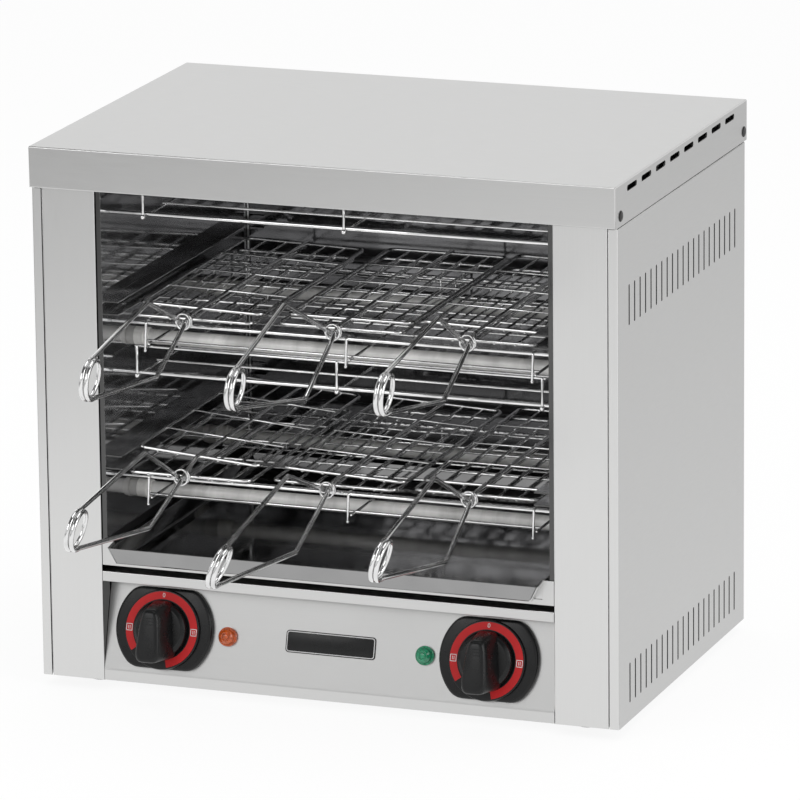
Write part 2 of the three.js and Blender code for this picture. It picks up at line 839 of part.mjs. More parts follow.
// Handle spring: the two straight ends run into the arms, with open turns between them.
function springStations( rest ) {

	const leanAt = rest.lean * handleLength;
	const steps = Math.round( coilTurns * coilSteps );
	const turns = Array.from( { length: steps + 1 }, ( _, i ) => {

		const share = i / steps;
		const angle = Math.PI / 2 + share * coilTurns * 2 * Math.PI;
		return point( leanAt + coilHalfWidth * ( 2 * share - 1 ),
			coilRadius * Math.cos( angle ) - handleLength, coilRadius * ( rest.coilLift + Math.sin( angle ) ) );

	} );
	const run = point( 0, tongWire, 0 );
	return [ turns[ 0 ].clone().add( run ), ...turns, turns.at( - 1 ).clone().add( run ) ];

}

// The least gap between turns more than half a turn apart along the spring.
function leastGap( stations ) {

	let least = Infinity;
	for ( let i = 0; i < stations.length; i ++ ) {

		for ( let j = i + coilSteps / 2 + 1; j < stations.length; j ++ ) {

			least = Math.min( least, stations[ i ].distanceTo( stations[ j ] ) - tongWire );

		}

	}

	return least;

}

for ( const rest of tongRest ) {

	const tong = new THREE.Group();
	const drop = rest.drop * gridDrop;
	const restHeight = supportHeights[ rest.level ] + rodRadius + fitGap + tongWire / 2 + drop;
	tong.position.set( rest.column * tongPitch, rest.setback * handleLength, restHeight );
	toaster.add( tong );

	add( `${ rest.name }_upper_jaw`, jaw( 1, rest, rest.rise * gridRise, upperGridOffset, armOverhang ),
		chromeWire(), tong );
	add( `${ rest.name }_lower_jaw`, jaw( - 1, rest, - drop, lowerGridOffset, 0 ), chromeWire(), tong );

	const stations = springStations( rest );
	console.log( `${ rest.name } spring: least gap between turns ${ leastGap( stations ).toFixed( 2 ) } mm` );
	add( `${ rest.name }_spring`, wire( stations, tongWire / 2, coilSides ), springSteel(), tong );

	const ring = new THREE.TorusGeometry( ringRadius, ringWire / 2, coilSides, 2 * rodSides );
	add( `${ rest.name }_ring`, ring.rotateX( Math.PI / 2 ), chromeWire(), tong );

}

// Dial plate: a rounded plate with flat top and bottom, and a raised round face on the knob's
// axis, a little below the plate's middle.
function dialPlate() {

	const cornerAngle = Math.asin( dialFlat / dialRadius );
	const outline = new THREE.Shape();
	outline.absarc( 0, 0, dialRadius, - cornerAngle, cornerAngle, false );
	outline.absarc( 0, 0, dialRadius, Math.PI - cornerAngle, Math.PI + cornerAngle, false );
	outline.closePath();
	const plate = extrude( outline, dialEdge ).translate( 0, dialRise, fitGap );
	const faceHeight = dialFaceHeight - sheet;
	const face = new THREE.CylinderGeometry( dialFaceRadius, dialFaceRadius, faceHeight, knobSides );
	face.rotateX( Math.PI / 2 ).translate( 0, 0, ( dialFaceHeight + sheet ) / 2 + fitGap );
	const boreRadius = shaftRadius + shaftClearance;
	const boreLength = 2 * dialFaceHeight + cutOverrun;
	const bore = new THREE.CylinderGeometry( boreRadius, boreRadius, boreLength, tubeSides );
	bore.rotateX( Math.PI / 2 ).translate( 0, 0, dialFaceHeight / 2 );
	return cut( join( [ plate, face ] ), [ bore ] );

}

// Knob: a disc with a tapered bar grip across it, and the shaft behind it. The grip is wider at its
// lower end and its outer face lies a little lower than its foot.
const knobBase = dialFaceHeight + 2 * fitGap;

function knob() {

	const disc = new THREE.CylinderGeometry( knobRadius - sheet, knobRadius, knobDisc, knobSides );
	disc.rotateX( Math.PI / 2 ).translate( 0, 0, knobBase + knobDisc / 2 );
	const grip = new THREE.BoxGeometry( 1, 1, 1 );
	const corners = grip.attributes.position;
	for ( let i = 0; i < corners.count; i ++ ) {

		const high = corners.getZ( i ) > 0;
		const flare = corners.getY( i ) < 0 ? gripFlare : 1;
		const length = high ? gripLength - knobDisc : gripLength - sheet;
		corners.setX( i, corners.getX( i ) * flare * ( high ? gripTopWidth : gripWidth ) );
		corners.setY( i, corners.getY( i ) * length - ( high ? gripSlope : 0 ) );
		corners.setZ( i, knobBase + ( high ? knobDisc + gripHeight : knobDisc / 2 ) );

	}

	const shaftLength = knobBase + sheet + fitGap + shaftDepth;
	const shaft = new THREE.CylinderGeometry( shaftRadius, shaftRadius, shaftLength + sheet, tubeSides );
	shaft.rotateX( Math.PI / 2 ).translate( 0, 0, knobBase + ( sheet - shaftLength ) / 2 );
	return join( [ disc, grip, shaft ] );

}

// Timer or selector behind the panel, with the bore that takes the knob's shaft.
function switchBody() {

	const front = - ( sheet + fitGap );
	const body = box( [ - switchWidth / 2, switchWidth / 2 ], [ - switchHeight / 2, switchHeight / 2 ],
		[ front - switchDepth, front ] );
	const boreRadius = shaftRadius + fitGap;
	const boreDepth = shaftDepth + fitGap + cutOverrun;
	const bore = new THREE.CylinderGeometry( boreRadius, boreRadius, boreDepth, tubeSides );
	bore.rotateX( Math.PI / 2 ).translate( 0, 0, front - shaftDepth - fitGap + boreDepth / 2 );
	return cut( body, [ bore ] );

}

// Pilot light: stem through the panel, collar and domed lens.
function pilotLight() {

	const domeShares = [ 0, 0.5, 1 ];
	const dome = domeShares.map( ( share ) => [
		( lampRadius - fitGap ) * Math.cos( share * Math.PI / 2 ),
		fitGap + lampCollar + lampDome * Math.sin( share * Math.PI / 2 )
	] );
	const profile = [ [ 0, - lampStemLength ], [ lampStem, - lampStemLength ], [ lampStem, fitGap ],
		[ lampRadius, fitGap ], [ lampRadius, fitGap + lampCollar ],
		...dome.slice( 0, - 1 ), [ 0, dome.at( - 1 )[ 1 ] ] ];
	return turned( profile, knobSides ).rotateX( Math.PI / 2 );

}

for ( const [ side, sign, control, lens, lensMaterial ] of [
	[ 'left', - 1, 'timer', 'orange', orangeLens ],
	[ 'right', 1, 'selector', 'green', greenLens ]
] ) {

	const knobX = sign * knobPlace;
	add( `${ control }_dial_plate`, onPanel( dialPlate(), knobX, knobHeight ), blackPlastic() );
	add( `${ control }_knob`, onPanel( knob(), knobX, knobHeight ), blackPlastic() );
	add( `${ control }_body`, onPanel( switchBody(), knobX, knobHeight ), darkPlastic() );
	const lamp = onPanel( pilotLight(), sign * lampPlace, lampHeight );
	add( `${ side }_${ lens }_pilot_light`, lamp, lensMaterial() );

}

// Cord gland: a bored bush with a flange outside the back panel and a nut's collar inside.
const glandProfile = [
	[ glandBore, - glandDepth ], [ glandNeck, - glandDepth ], [ glandNeck, fitGap ],
	[ glandRadius, fitGap ], [ glandRadius, glandProud / 2 ], [ glandNeck, glandProud ],
	[ glandBore, glandProud ], [ glandBore, - glandDepth ]
];
const gland = add( 'cord_gland', turned( glandProfile, knobSides ), blackPlastic() );
gland.position.set( glandPlace, casingDepth, glandHeight );

// Set the object on its feet, with the origin under the middle of its outline.
toaster.updateMatrixWorld( true );
const extent = new THREE.Box3().setFromObject( toaster, true );
const middle = extent.getCenter( new THREE.Vector3() );
toaster.position.set( - middle.x, - middle.y, - extent.min.z );
toaster.updateMatrixWorld( true );

export default toaster;
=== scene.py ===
import math

import bmesh
import bpy
from mathutils import Matrix, Vector


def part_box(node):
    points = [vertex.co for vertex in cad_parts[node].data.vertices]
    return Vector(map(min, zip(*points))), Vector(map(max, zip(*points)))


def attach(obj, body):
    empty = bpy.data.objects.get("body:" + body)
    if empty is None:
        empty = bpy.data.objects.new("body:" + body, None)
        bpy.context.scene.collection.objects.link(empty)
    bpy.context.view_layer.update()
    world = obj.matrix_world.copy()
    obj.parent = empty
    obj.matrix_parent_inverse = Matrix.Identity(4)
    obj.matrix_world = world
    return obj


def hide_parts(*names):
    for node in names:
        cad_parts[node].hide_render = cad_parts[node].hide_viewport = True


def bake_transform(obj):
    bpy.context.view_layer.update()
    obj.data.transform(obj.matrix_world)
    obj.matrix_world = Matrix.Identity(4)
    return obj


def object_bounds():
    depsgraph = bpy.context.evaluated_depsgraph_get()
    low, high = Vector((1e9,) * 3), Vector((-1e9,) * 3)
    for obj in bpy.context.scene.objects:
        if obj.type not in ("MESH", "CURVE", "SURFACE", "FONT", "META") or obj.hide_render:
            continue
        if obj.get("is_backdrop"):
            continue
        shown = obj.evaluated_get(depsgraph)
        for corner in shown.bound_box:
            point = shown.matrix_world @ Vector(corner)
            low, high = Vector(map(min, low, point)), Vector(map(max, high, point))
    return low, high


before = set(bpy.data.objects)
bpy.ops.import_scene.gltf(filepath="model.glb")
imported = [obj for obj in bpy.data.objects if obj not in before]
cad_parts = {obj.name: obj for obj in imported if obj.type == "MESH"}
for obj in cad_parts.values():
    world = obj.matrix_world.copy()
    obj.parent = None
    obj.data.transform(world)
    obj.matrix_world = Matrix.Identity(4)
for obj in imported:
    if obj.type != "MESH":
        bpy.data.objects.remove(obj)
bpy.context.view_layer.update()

# Lengths below are in millimetres in the casing's own frame: X to the right from its middle,
# Y backwards from the front face of its uprights, Z up from its lower edge. P() turns a place
# there into metres in the row frame.
MM = 0.001
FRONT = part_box("right_upright")[0].y
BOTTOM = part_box("right_upright")[0].z


def P(x, y, z):
    return Vector((x * MM, y * MM + FRONT, z * MM + BOTTOM))


def casing(point):
    return Vector((point.x, point.y - FRONT, point.z - BOTTOM)) / MM


def run(*places):
    return [P(*place) for place in places]


def mm(points):
    """Takes 2-D points from millimetres to metres."""
    return [(a * MM, b * MM) for a, b in points]


# Sizes that repeat those of the CAD part
HALF_WIDTH, CASING_DEPTH, CASING_HEIGHT = 225, 300, 402
SHEET = 1
LID_OVERHANG = 5
HALF_CHAMBER = 172
CHAMBER_DEPTH = 292
LOW_ROW, MID_ROW_SHARE, TOP_ROW = 131, 0.4936, 367
ROW = {"low": LOW_ROW, "mid": LOW_ROW + MID_ROW_SHARE * (TOP_ROW - LOW_ROW), "top": TOP_ROW}
SUPPORT_RISE = 22.3
SUPPORT_PLACES = (20, 217)
BASKET_PLACES = (20, 272)
TUBE_PLACES = (66, 226)
ROD_RADIUS = 1.6
ROD_END = 175
OVERHANG = 2
TOP_BASKET_SHIFT = 7
TONG_PITCH = 107
HANDLE = 180
ARM_BEND, ARM_RISE = 60, 31
WIRE_RADIUS = 1.75
COIL_RADIUS, COIL_PITCH = 14, 3.8
GRID_WIDTH, GRID_LENGTH, GRID_BORDER = 98, 217, 1.3
GRID_DROP, GRID_RISE = 2.15, 3.2
ARM_OFFSET = 2.1
PANEL_SKIRT, PANEL_RECESS, LIP_BOTTOM = 8.5, 18, 76
CONTROL_SHIFT = 3.1
KNOB_PLACE, KNOB_HEIGHT = 126.8, 40.6
LAMP_PLACE, LAMP_HEIGHT = 77, 39.7
PANEL_LEAN = math.atan2(PANEL_RECESS, LIP_BOTTOM - PANEL_SKIRT)

# ---- Materials ----

EVEN = (1, 1, 1)
NOISE_LOW, NOISE_HIGH = 0.3, 0.7


class Nodes:
    """The nodes of a material or of the world, with helpers that add a node and give back its
    output. What goes into a helper is a number or another node's output."""

    def __init__(self, owner):
        owner.use_nodes = True
        self.nodes, self.links = owner.node_tree.nodes, owner.node_tree.links

    def feed(self, sockets, values):
        for key, value in values.items():
            if isinstance(value, bpy.types.NodeSocket):
                self.links.new(value, sockets[key])
            else:
                sockets[key].default_value = value

    def math(self, operation, a, b):
        node = self.nodes.new("ShaderNodeMath")
        node.operation = operation
        self.feed(node.inputs, {0: a, 1: b})
        return node.outputs[0]

    def mix(self, factor, a, b):
        node = self.nodes.new("ShaderNodeMix")
        self.feed(node.inputs, {0: factor, 2: a, 3: b})
        return node.outputs[0]

    def map_range(self, *values):
        """values are the input, the range that it comes from and the range that it goes to."""
        node = self.nodes.new("ShaderNodeMapRange")
        keys = ("Value", "From Min", "From Max", "To Min", "To Max")
        self.feed(node.inputs, dict(zip(keys, values)))
        return node.outputs[0]

    def axes(self, kind):
        """The three parts of a texture coordinate."""
        node = self.nodes.new("ShaderNodeSeparateXYZ")
        self.feed(node.inputs, {0: self.nodes.new("ShaderNodeTexCoord").outputs[kind]})
        return node.outputs


class Finish(Nodes):
    """A material whose colour, roughness and surface vary with noises."""

    def __init__(self, name, colour, metallic, roughness, **inputs):
        self.material = bpy.data.materials.new(name)
        super().__init__(self.material)
        self.colour, self.normal = colour, None
        self.shader = self.nodes["Principled BSDF"].inputs
        inputs.update(Base_Color=(*colour, 1), Metallic=metallic, Roughness=roughness)
        self.feed(self.shader, {key.replace("_", " "): inputs[key] for key in inputs})
        self.coordinates = self.nodes.new("ShaderNodeTexCoord").outputs["Object"]

    def noise(self, scale, stretch, detail):
        mapping = self.nodes.new("ShaderNodeMapping")
        self.feed(mapping.inputs, {"Vector": self.coordinates,
                                   "Scale": [scale * s for s in stretch]})
        texture = self.nodes.new("ShaderNodeTexNoise")
        self.feed(texture.inputs, {"Scale": 1, "Detail": detail, "Vector": mapping.outputs[0]})
        return texture.outputs[0]

    def ramp(self, scale, stretch, detail, low, high):
        return self.map_range(self.noise(scale, stretch, detail), NOISE_LOW, NOISE_HIGH, low, high)

    def vary(self, scale, stretch, share, detail=4):
        """Goes from the colour so far to a share of the first one as a noise goes up."""
        factor = self.ramp(scale, stretch, detail, 0, 1)
        node = self.nodes.new("ShaderNodeMix")
        node.data_type = "RGBA"
        socket = self.shader["Base Color"]
        so_far = socket.links[0].from_socket if socket.is_linked else socket.default_value
        self.feed(node.inputs, {0: factor, 6: so_far, 7: (*[c * share for c in self.colour], 1)})
        self.links.new(node.outputs[2], socket)
        return self

    def rough(self, scale, stretch, low, high, detail=4):
        self.feed(self.shader, {"Roughness": self.ramp(scale, stretch, detail, low, high)})
        return self

    def bump(self, scale, stretch, distance, strength, detail=3):
        node = self.nodes.new("ShaderNodeBump")
        self.feed(node.inputs, {"Strength": strength, "Distance": distance * MM,
                                "Height": self.noise(scale, stretch, detail)})
        if self.normal:
            self.feed(node.inputs, {"Normal": self.normal})
        self.normal = node.outputs[0]
        self.feed(self.shader, {"Normal": self.normal})
        return self


def brushed(name, level, along, rough=(0.28, 0.32)):
    """Stainless sheet with a fine grain along one axis, faintly cloudy and wavy."""
    fine = [1.0 if axis != along else 0.006 for axis in "xyz"]
    wide = [1.0 if axis != along else 0.03 for axis in "xyz"]
    return (Finish(name, (level, level, level * 0.992), 1, 0.3)
            .vary(2600, fine, 0.98, 0).vary(9, EVEN, 0.985, 1).rough(2200, wide, *rough, 0)
            .bump(2600, fine, 0.001, 0.12, 0).bump(5, EVEN, 0.08, 0.08, 1)).material


def mottled(name, colour, metallic, roughness, tint, rough, bump, **inputs):
    """A finish that varies alike in all directions. tint is a noise's scale, the share of the
    colour that is left in its spots and its detail; rough is a scale and two roughnesses; bump is
    a scale, a height, a strength and the detail."""
    finish = Finish(name, colour, metallic, roughness, **inputs)
    finish.vary(tint[0], EVEN, *tint[1:]).rough(rough[0], EVEN, *rough[1:])
    return finish.bump(bump[0], EVEN, *bump[1:]).material


# One brushed steel in lit and shaded copies, one per face direction. The grain's direction is real,
# but the levels are painted light and shade: lightest on the front faces, darker on the sides.
CASING_FRONT_LIT = brushed("casing_front_painted_light", 0.69, "z")
CASING_SIDE_SHADED = brushed("casing_side_painted_shade", 0.52, "y")
CASING_TOP = brushed("casing_top_steel", 0.64, "x")
LID_FACE = brushed("lid_front_steel", 0.63, "x")
LID_SIDE_SHADED = brushed("lid_side_painted_shade", 0.5, "y")
PANEL_STEEL = brushed("panel_steel", 0.63, "x")
PANEL_LEANING_SHADED = brushed("leaning_panel_painted_shade", 0.54, "x")
# Nearly black steel: a painted reflection of the dark chamber on the flanges beside the opening and
# on the liners' front edges.
JAMB_PAINTED_REFLECTION = brushed("jamb_painted_reflection", 0.1, "z", (0.1, 0.16))
TRAY_STEEL = mottled("tray_steel", (0.34, 0.34, 0.34), 1, 0.08,
                     (30, 0.9, 2), (60, 0.05, 0.1), (6, 0.1, 0.1, 1))
# Near black: painted shade for hidden inner faces, the walls of the louvre slots and the liners'
# outer sides.
DULL_PAINTED_SHADE = mottled("inner_painted_shade", (0.05, 0.05, 0.052), 0.6, 0.7,
               (60, 0.7), (200, 0.6, 0.8), (300, 0.02, 0.4))
ZINC = mottled("zinc_sheet", (0.4, 0.41, 0.42), 1, 0.5,
               (60, 0.8), (200, 0.4, 0.55), (300, 0.02, 0.4))
LINER = mottled("bright_liner", (0.58, 0.58, 0.585), 0.94, 0.06,
                (14, 0.8, 3), (40, 0.04, 0.09), (7, 0.2, 0.16, 1))
# A darker copy of the liner's steel for the back wall: painted shade.
BACK_LINER_SHADED = mottled("back_liner_painted_shade", (0.19, 0.19, 0.195), 0.9, 0.07,
                     (14, 0.75, 3), (40, 0.05, 0.1), (7, 0.2, 0.16, 1))
CHROME = mottled("chrome_wire", (0.9, 0.9, 0.9), 1, 0.08,
                 (90, 0.8), (300, 0.05, 0.14), (700, 0.008, 0.4))
SPRING = mottled("spring_wire", (0.82, 0.82, 0.82), 1, 0.06,
                 (120, 0.85), (300, 0.04, 0.12), (700, 0.006, 0.3))
# the quartz is cloudy in streaks along the tube
QUARTZ = (Finish("milky_quartz", (0.97, 0.96, 0.94), 0, 0.24, Coat_Weight=0.6, Coat_Roughness=0.1)
          .vary(42, (1, 0.3, 0.3), 0.55, 3).rough(90, (1, 0.2, 0.2), 0.2, 0.34)
          .bump(220, EVEN, 0.02, 0.2)).material
CERAMIC = mottled("pale_ceramic", (0.94, 0.93, 0.9), 0, 0.7,
                  (260, 0.9), (200, 0.6, 0.8), (900, 0.03, 0.5))
BLACK = mottled("black_plastic", (0.008, 0.0083, 0.0088), 0, 0.3,
                (150, 0.75), (120, 0.24, 0.34), (1500, 0.01, 0.4), Specular_IOR_Level=0.3)
DARK = mottled("dark_plastic", (0.02, 0.021, 0.022), 0, 0.5,
               (150, 0.75), (200, 0.45, 0.6), (900, 0.03, 0.5))
RED = mottled("red_ring_print", (0.56, 0.02, 0.022), 0, 0.42,
              (90, 0.88), (300, 0.34, 0.46), (1200, 0.006, 0.4), Specular_IOR_Level=0.2)
WHITE_PRINT = mottled("white_print", (0.72, 0.72, 0.72), 0, 0.5,
                      (300, 0.85), (300, 0.4, 0.6), (1200, 0.004, 0.4))


def lens(name, colour):
    return mottled(name, colour, 0, 0.14, (420, 0.45, 2), (200, 0.08, 0.2), (500, 0.05, 0.6),
                   Coat_Weight=0.5, Transmission_Weight=0.2)


ORANGE = lens("orange_lens", (0.86, 0.14, 0.012))
GREEN = lens("green_lens", (0.02, 0.42, 0.2))
RUBBER = mottled("foot_rubber", (0.016, 0.016, 0.016), 0, 0.8,
                 (200, 0.7), (200, 0.7, 0.9), (1200, 0.03, 0.6))
SCREW_BLACK = mottled("black_screw", (0.012, 0.012, 0.012), 0.4, 0.4,
                      (400, 0.6), (300, 0.3, 0.5), (900, 0.01, 0.4))
# Brighter than the liner: a painted highlight on the seam's rounded edge.
SEAM_HIGHLIGHT = mottled("seam_painted_highlight", (0.92, 0.92, 0.92), 1, 0.3,
                      (60, 0.8), (300, 0.2, 0.4), (500, 0.01, 0.4))

# ---- Mesh helpers ----

# how far a wire's domed end stands out, as a share of its radius, and the angles of its rings
DOME_DEPTH, DOME_ANGLES = 0.55, (math.radians(40), math.radians(70))
MITRE_LIMIT = 0.3
WELD, FLAT_ANGLE, CUT_ANGLE = 1e-6, math.radians(0.5), math.radians(50)


def piece(name, bm, materials, body="root", replaces=(), smooth=40, weighted=False):
    """Makes a shown piece from a bmesh in the row frame, in metres. weighted keeps flat faces flat
    beside their rounded edges."""
    mesh = bpy.data.meshes.new(name)
    bmesh.ops.recalc_face_normals(bm, faces=bm.faces)
    bm.to_mesh(mesh)
    bm.free()
    for material in materials if isinstance(materials, list) else [materials]:
        mesh.materials.append(material)
    mesh.shade_smooth()
    mesh.set_sharp_from_angle(angle=math.radians(smooth))
    obj = bpy.data.objects.new(name, mesh)
    bpy.context.scene.collection.objects.link(obj)
    if weighted:
        obj.modifiers.new("flat_faces", "WEIGHTED_NORMAL").keep_sharp = True
        evaluated = obj.evaluated_get(bpy.context.evaluated_depsgraph_get())
        obj.data = bpy.data.meshes.new_from_object(evaluated)
        obj.modifiers.clear()
        bpy.data.meshes.remove(mesh)
    if body:
        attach(obj, body)
    if replaces:
        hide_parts(replaces)
    return obj


def skin(bm, a, b, material=0):
    """Joins two closed rows of vertices by a band of faces."""
    for k in range(len(a)):
        n = (k + 1) % len(a)
        bm.faces.new((a[k], a[n], b[n], b[k])).material_index = material


def loft(bm, rows, material=0):
    """Joins closed rows of vertices and closes both ends."""
    for a, b in zip(rows, rows[1:]):
        skin(bm, a, b, material)
    bm.faces.new(rows[0][::-1]).material_index = material
    bm.faces.new(rows[-1]).material_index = material


def bent(corners, radius, steps=6):
    """Rounds the inner corners of a run of points; radius is one number or one per inner corner."""
    points = [corners[0]]
    for i in range(1, len(corners) - 1):
        r = radius[i - 1] if isinstance(radius, list) else radius
        here, toward, away = corners[i], corners[i - 1] - corners[i], corners[i + 1] - corners[i]
        turn = math.pi - toward.angle(away)
        if turn < 1e-3:
            points.append(here)
            continue
        reach = min(r * math.tan(turn / 2), toward.length * 0.49, away.length * 0.49)
        r = reach / math.tan(turn / 2)
        a, b = here + toward.normalized() * reach, here + away.normalized() * reach
        inward = (toward.normalized() + away.normalized()).normalized()
        middle = here + inward * (r / math.cos(turn / 2))
        for k in range(steps + 1):
            points.append(middle + (a.lerp(b, k / steps) - middle).normalized() * r)
    points.append(corners[-1])
    return points


def sweep(bm, points, radius, sides=10, closed=False, start=None):
    """Sweeps a round wire with domed ends along points in metres. start is a first normal, so that
    two wires can meet. Gives back the pairs of normals along the wire."""
    count = len(points)
    tangents = []
    for i in range(count):
        a = points[i - 1] if (i or closed) else points[i]
        b = points[(i + 1) % count] if (i < count - 1 or closed) else points[i]
        tangents.append(((points[i] - a).normalized() + (b - points[i]).normalized()).normalized())
    normal = start.copy() if start else tangents[0].orthogonal()
    frames = []
    for tangent in tangents:
        normal = (normal - tangent * normal.dot(tangent)).normalized()
        frames.append((normal.copy(), tangent.cross(normal)))
    twist = 0
    if closed:
        last = (frames[-1][0] - tangents[0] * frames[-1][0].dot(tangents[0])).normalized()
        twist = math.atan2(last.dot(frames[0][1]), last.dot(frames[0][0]))

    def ring(centre, across, r, turn=0.0):
        corners = []
        for k in range(sides):
            angle = turn + 2 * math.pi * k / sides
            way = across[0] * math.cos(angle) + across[1] * math.sin(angle)
            corners.append(bm.verts.new(centre + way * r))
        return corners

    rings = [ring(points[i], frames[i], radius, -twist * i / count) for i in range(count)]
    if not closed:
        for index, way in ((0, -1), (count - 1, 1)):
            dome = [rings[index]]
            for angle in DOME_ANGLES:
                out = tangents[index] * (way * radius * DOME_DEPTH * math.sin(angle))
                dome.append(ring(points[index] + out, frames[index], radius * math.cos(angle)))
            for a, b in zip(dome, dome[1:]):
                skin(bm, a, b)
            bm.faces.new(dome[-1])
    for a, b in zip(rings, rings[1:] + (rings[:1] if closed else [])):
        skin(bm, a, b)
    return frames


def lathe(bm, profile, matrix, steps=48, material=0):
    """Turns a profile of (radius, height) in metres about the matrix's Z axis."""
    rows = []
    turns = [2 * math.pi * k / steps for k in range(steps)]
    for r, h in profile:
        if r < 1e-9:
            rows.append([bm.verts.new(matrix @ Vector((0, 0, h)))])
        else:
            rows.append([bm.verts.new(matrix @ Vector((r * math.cos(a), r * math.sin(a), h)))
                         for a in turns])
    for a, b in zip(rows, rows[1:]):
        for k in range(steps):
            n = (k + 1) % steps
            corners = [a[k % len(a)], a[n % len(a)], b[n % len(b)], b[k % len(b)]]
            corners = [v for i, v in enumerate(corners) if v not in corners[:i]]
            if len(corners) > 2:
                bm.faces.new(corners).material_index = material


def rounded(profile, radius, steps=4):
    """Rounds the inner corners of a (radius, height) profile."""
    return [(v.x, v.y) for v in bent([Vector((r, h, 0)) for r, h in profile], radius, steps)]


def slab(bm, outline, low, high, matrix, edge=0.0, steps=3, material=0):
    """A plate from an anticlockwise 2-D outline between two heights, with a rounded top edge."""
    count = len(outline)

    def inset(amount):
        points = []
        for i in range(count):
            a, b, c = (Vector(outline[j % count]) for j in (i - 1, i, i + 1))
            n1 = Vector((b.y - a.y, a.x - b.x)).normalized()
            n2 = Vector((c.y - b.y, b.x - c.x)).normalized()
            n = (n1 + n2).normalized()
            points.append(b - n * (amount / max(n.dot(n1), MITRE_LIMIT)))
        return points

    levels = [(0, low), (0, high)]
    if edge:
        turns = [math.pi / 2 * k / steps for k in range(steps + 1)]
        levels[1:] = [(edge * (1 - math.cos(a)), high - edge * (1 - math.sin(a))) for a in turns]
    rows = [[bm.verts.new(matrix @ Vector((*p, h))) for p in inset(amount)] for amount, h in levels]
    loft(bm, rows, material)


def dressed(node, materials, folds=None, fold_radius=0, edge=0.22,
            body="root", corners=None, corner_radius=0, paint=None):
    """The CAD sheet with its folds rounded, its holes' corners rounded and its cut edges broken.
    folds and corners pick edges by their two ends in the casing frame; paint picks a face's
    material from its middle and its normal."""
    bm = bmesh.new()
    bm.from_mesh(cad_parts[node].data)
    bmesh.ops.remove_doubles(bm, verts=bm.verts, dist=WELD)
    bmesh.ops.dissolve_limit(bm, angle_limit=FLAT_ANGLE, verts=bm.verts, edges=bm.edges)

    def bevel(edges, radius, segments):
        if edges:
            bmesh.ops.bevel(bm, geom=edges, offset=radius * MM, segments=segments, profile=0.5,
                            affect="EDGES", clamp_overlap=True)

    for pick, radius in ((corners, corner_radius), (folds, fold_radius)):
        bevel([e for e in bm.edges if pick and pick(*[casing(v.co) for v in e.verts])], radius, 4)
    if edge:
        bevel([e for e in bm.edges if len(e.link_faces) == 2 and e.calc_face_angle(0) > CUT_ANGLE
               and e.calc_length() > 4 * edge * MM], edge, 2)
    if paint:
        bm.normal_update()
        for face in bm.faces:
            face.material_index = paint(casing(face.calc_center_median()), face.normal)
    return piece(node + "_dressed", bm, materials, body, node, smooth=32, weighted=True)


def near(value, target, slack=0.05):
    return abs(value - target) < slack


# ---- Casing ----

LID_FRONT, LID_BACK = -LID_OVERHANG, CASING_DEPTH + LID_OVERHANG
LID_SKIRT_TOP = CASING_HEIGHT - 2
LONG = 50
SLOT_MARGIN = 4
LOUVRES_FRONT, LOUVRES_BACK, LOUVRES_LOW, LOUVRES_HIGH = 20, 280, 12, 328
TRAY_FOLD_TOP, SIDE_FOLDS_LOW = 95, 100
FACING = 0.7


def outer_lid_fold(a, b):
    def walls(p):
        found = {"side": near(abs(p.x), HALF_WIDTH), "front": near(p.y, LID_FRONT),
                 "back": near(p.y, LID_BACK), "top": near(p.z, CASING_HEIGHT)}
        return {name for name in found if found[name]}
    return len(walls(a) & walls(b)) >= 2


def upright_fold(a, b):
    return near(a.y, 0) and near(b.y, 0) and near(a.x, b.x) and abs(a.z - b.z) > LONG


def side_fold(a, b):
    outer = near(abs(a.x), HALF_WIDTH)
    along_y = outer and near(a.x, b.x) and near(a.z, b.z) and abs(a.y - b.y) > LONG
    upright = outer and near(abs(b.x), HALF_WIDTH) and near(a.y, b.y) and abs(a.z - b.z) > LONG
    at_end = near(a.y, 0) or near(a.y, CASING_DEPTH)
    return (along_y and a.z > SIDE_FOLDS_LOW) or (upright and at_end)


def panel_fold(a, b):
    across = abs(a.x - b.x) > LONG and near(a.y, b.y) and near(a.z, b.z)
    return across and (near(a.y, 0) or (near(a.y, PANEL_RECESS) and near(a.z, LIP_BOTTOM)))


def tray_fold(a, b):
    return max(a.z, b.z) < TRAY_FOLD_TOP


def through_side(a, b):
    """An edge through the sheet at a corner of a hole in a side."""
    through = near(a.y, b.y) and near(a.z, b.z) and near(abs(a.x - b.x), SHEET, 0.1)
    return through and SLOT_MARGIN < a.y < CASING_DEPTH - SLOT_MARGIN


# The lid's side skirts get the darker copy of the steel, painted shade; its front and back skirts
# one copy, its top another.
def lid_paint(middle, normal):
    if middle.z < LID_SKIRT_TOP and abs(normal.x) > FACING:
        return 2
    return 1 if middle.z < LID_SKIRT_TOP and abs(normal.y) > FACING else 0


# Inner faces and the walls of the louvre slots get the near-black painted shade; faces toward the
# front or back get the lit front copy of the steel.
def side_paint(middle, normal):
    inner = normal.x * middle.x < -0.5 * abs(middle.x)
    among_louvres = (LOUVRES_FRONT < middle.y < LOUVRES_BACK
                     and LOUVRES_LOW < middle.z < LOUVRES_HIGH)
    if inner or (abs(normal.x) < 0.5 and among_louvres):
        return 1
    return 2 if abs(normal.y) > FACING else 0


def upright_paint(middle, normal):
    """The flange beside the opening is painted dark: a painted reflection of the dark chamber that
    it faces.
    """
    toward_opening = normal.x * middle.x < -FACING * abs(middle.x)
    return 1 if toward_opening and middle.y > 0.8 * SHEET else 0


# The leaning face under the lip gets the darker copy of the panel steel: painted shade.
def panel_paint(middle, normal):
    return 1 if normal.y < -0.5 and 0.1 < normal.z < 0.6 else 0


def liner_paint(middle, normal):
    """Bright inside, painted shade outside, and on the front edge the same painted reflection of
    the dark chamber as on the upright's flange.
    """
    away = normal.x * math.copysign(1, middle.x) if abs(normal.x) > FACING else normal.y
    if away > FACING:
        return 1
    return 2 if normal.y < -FACING and middle.y < 5 else 0


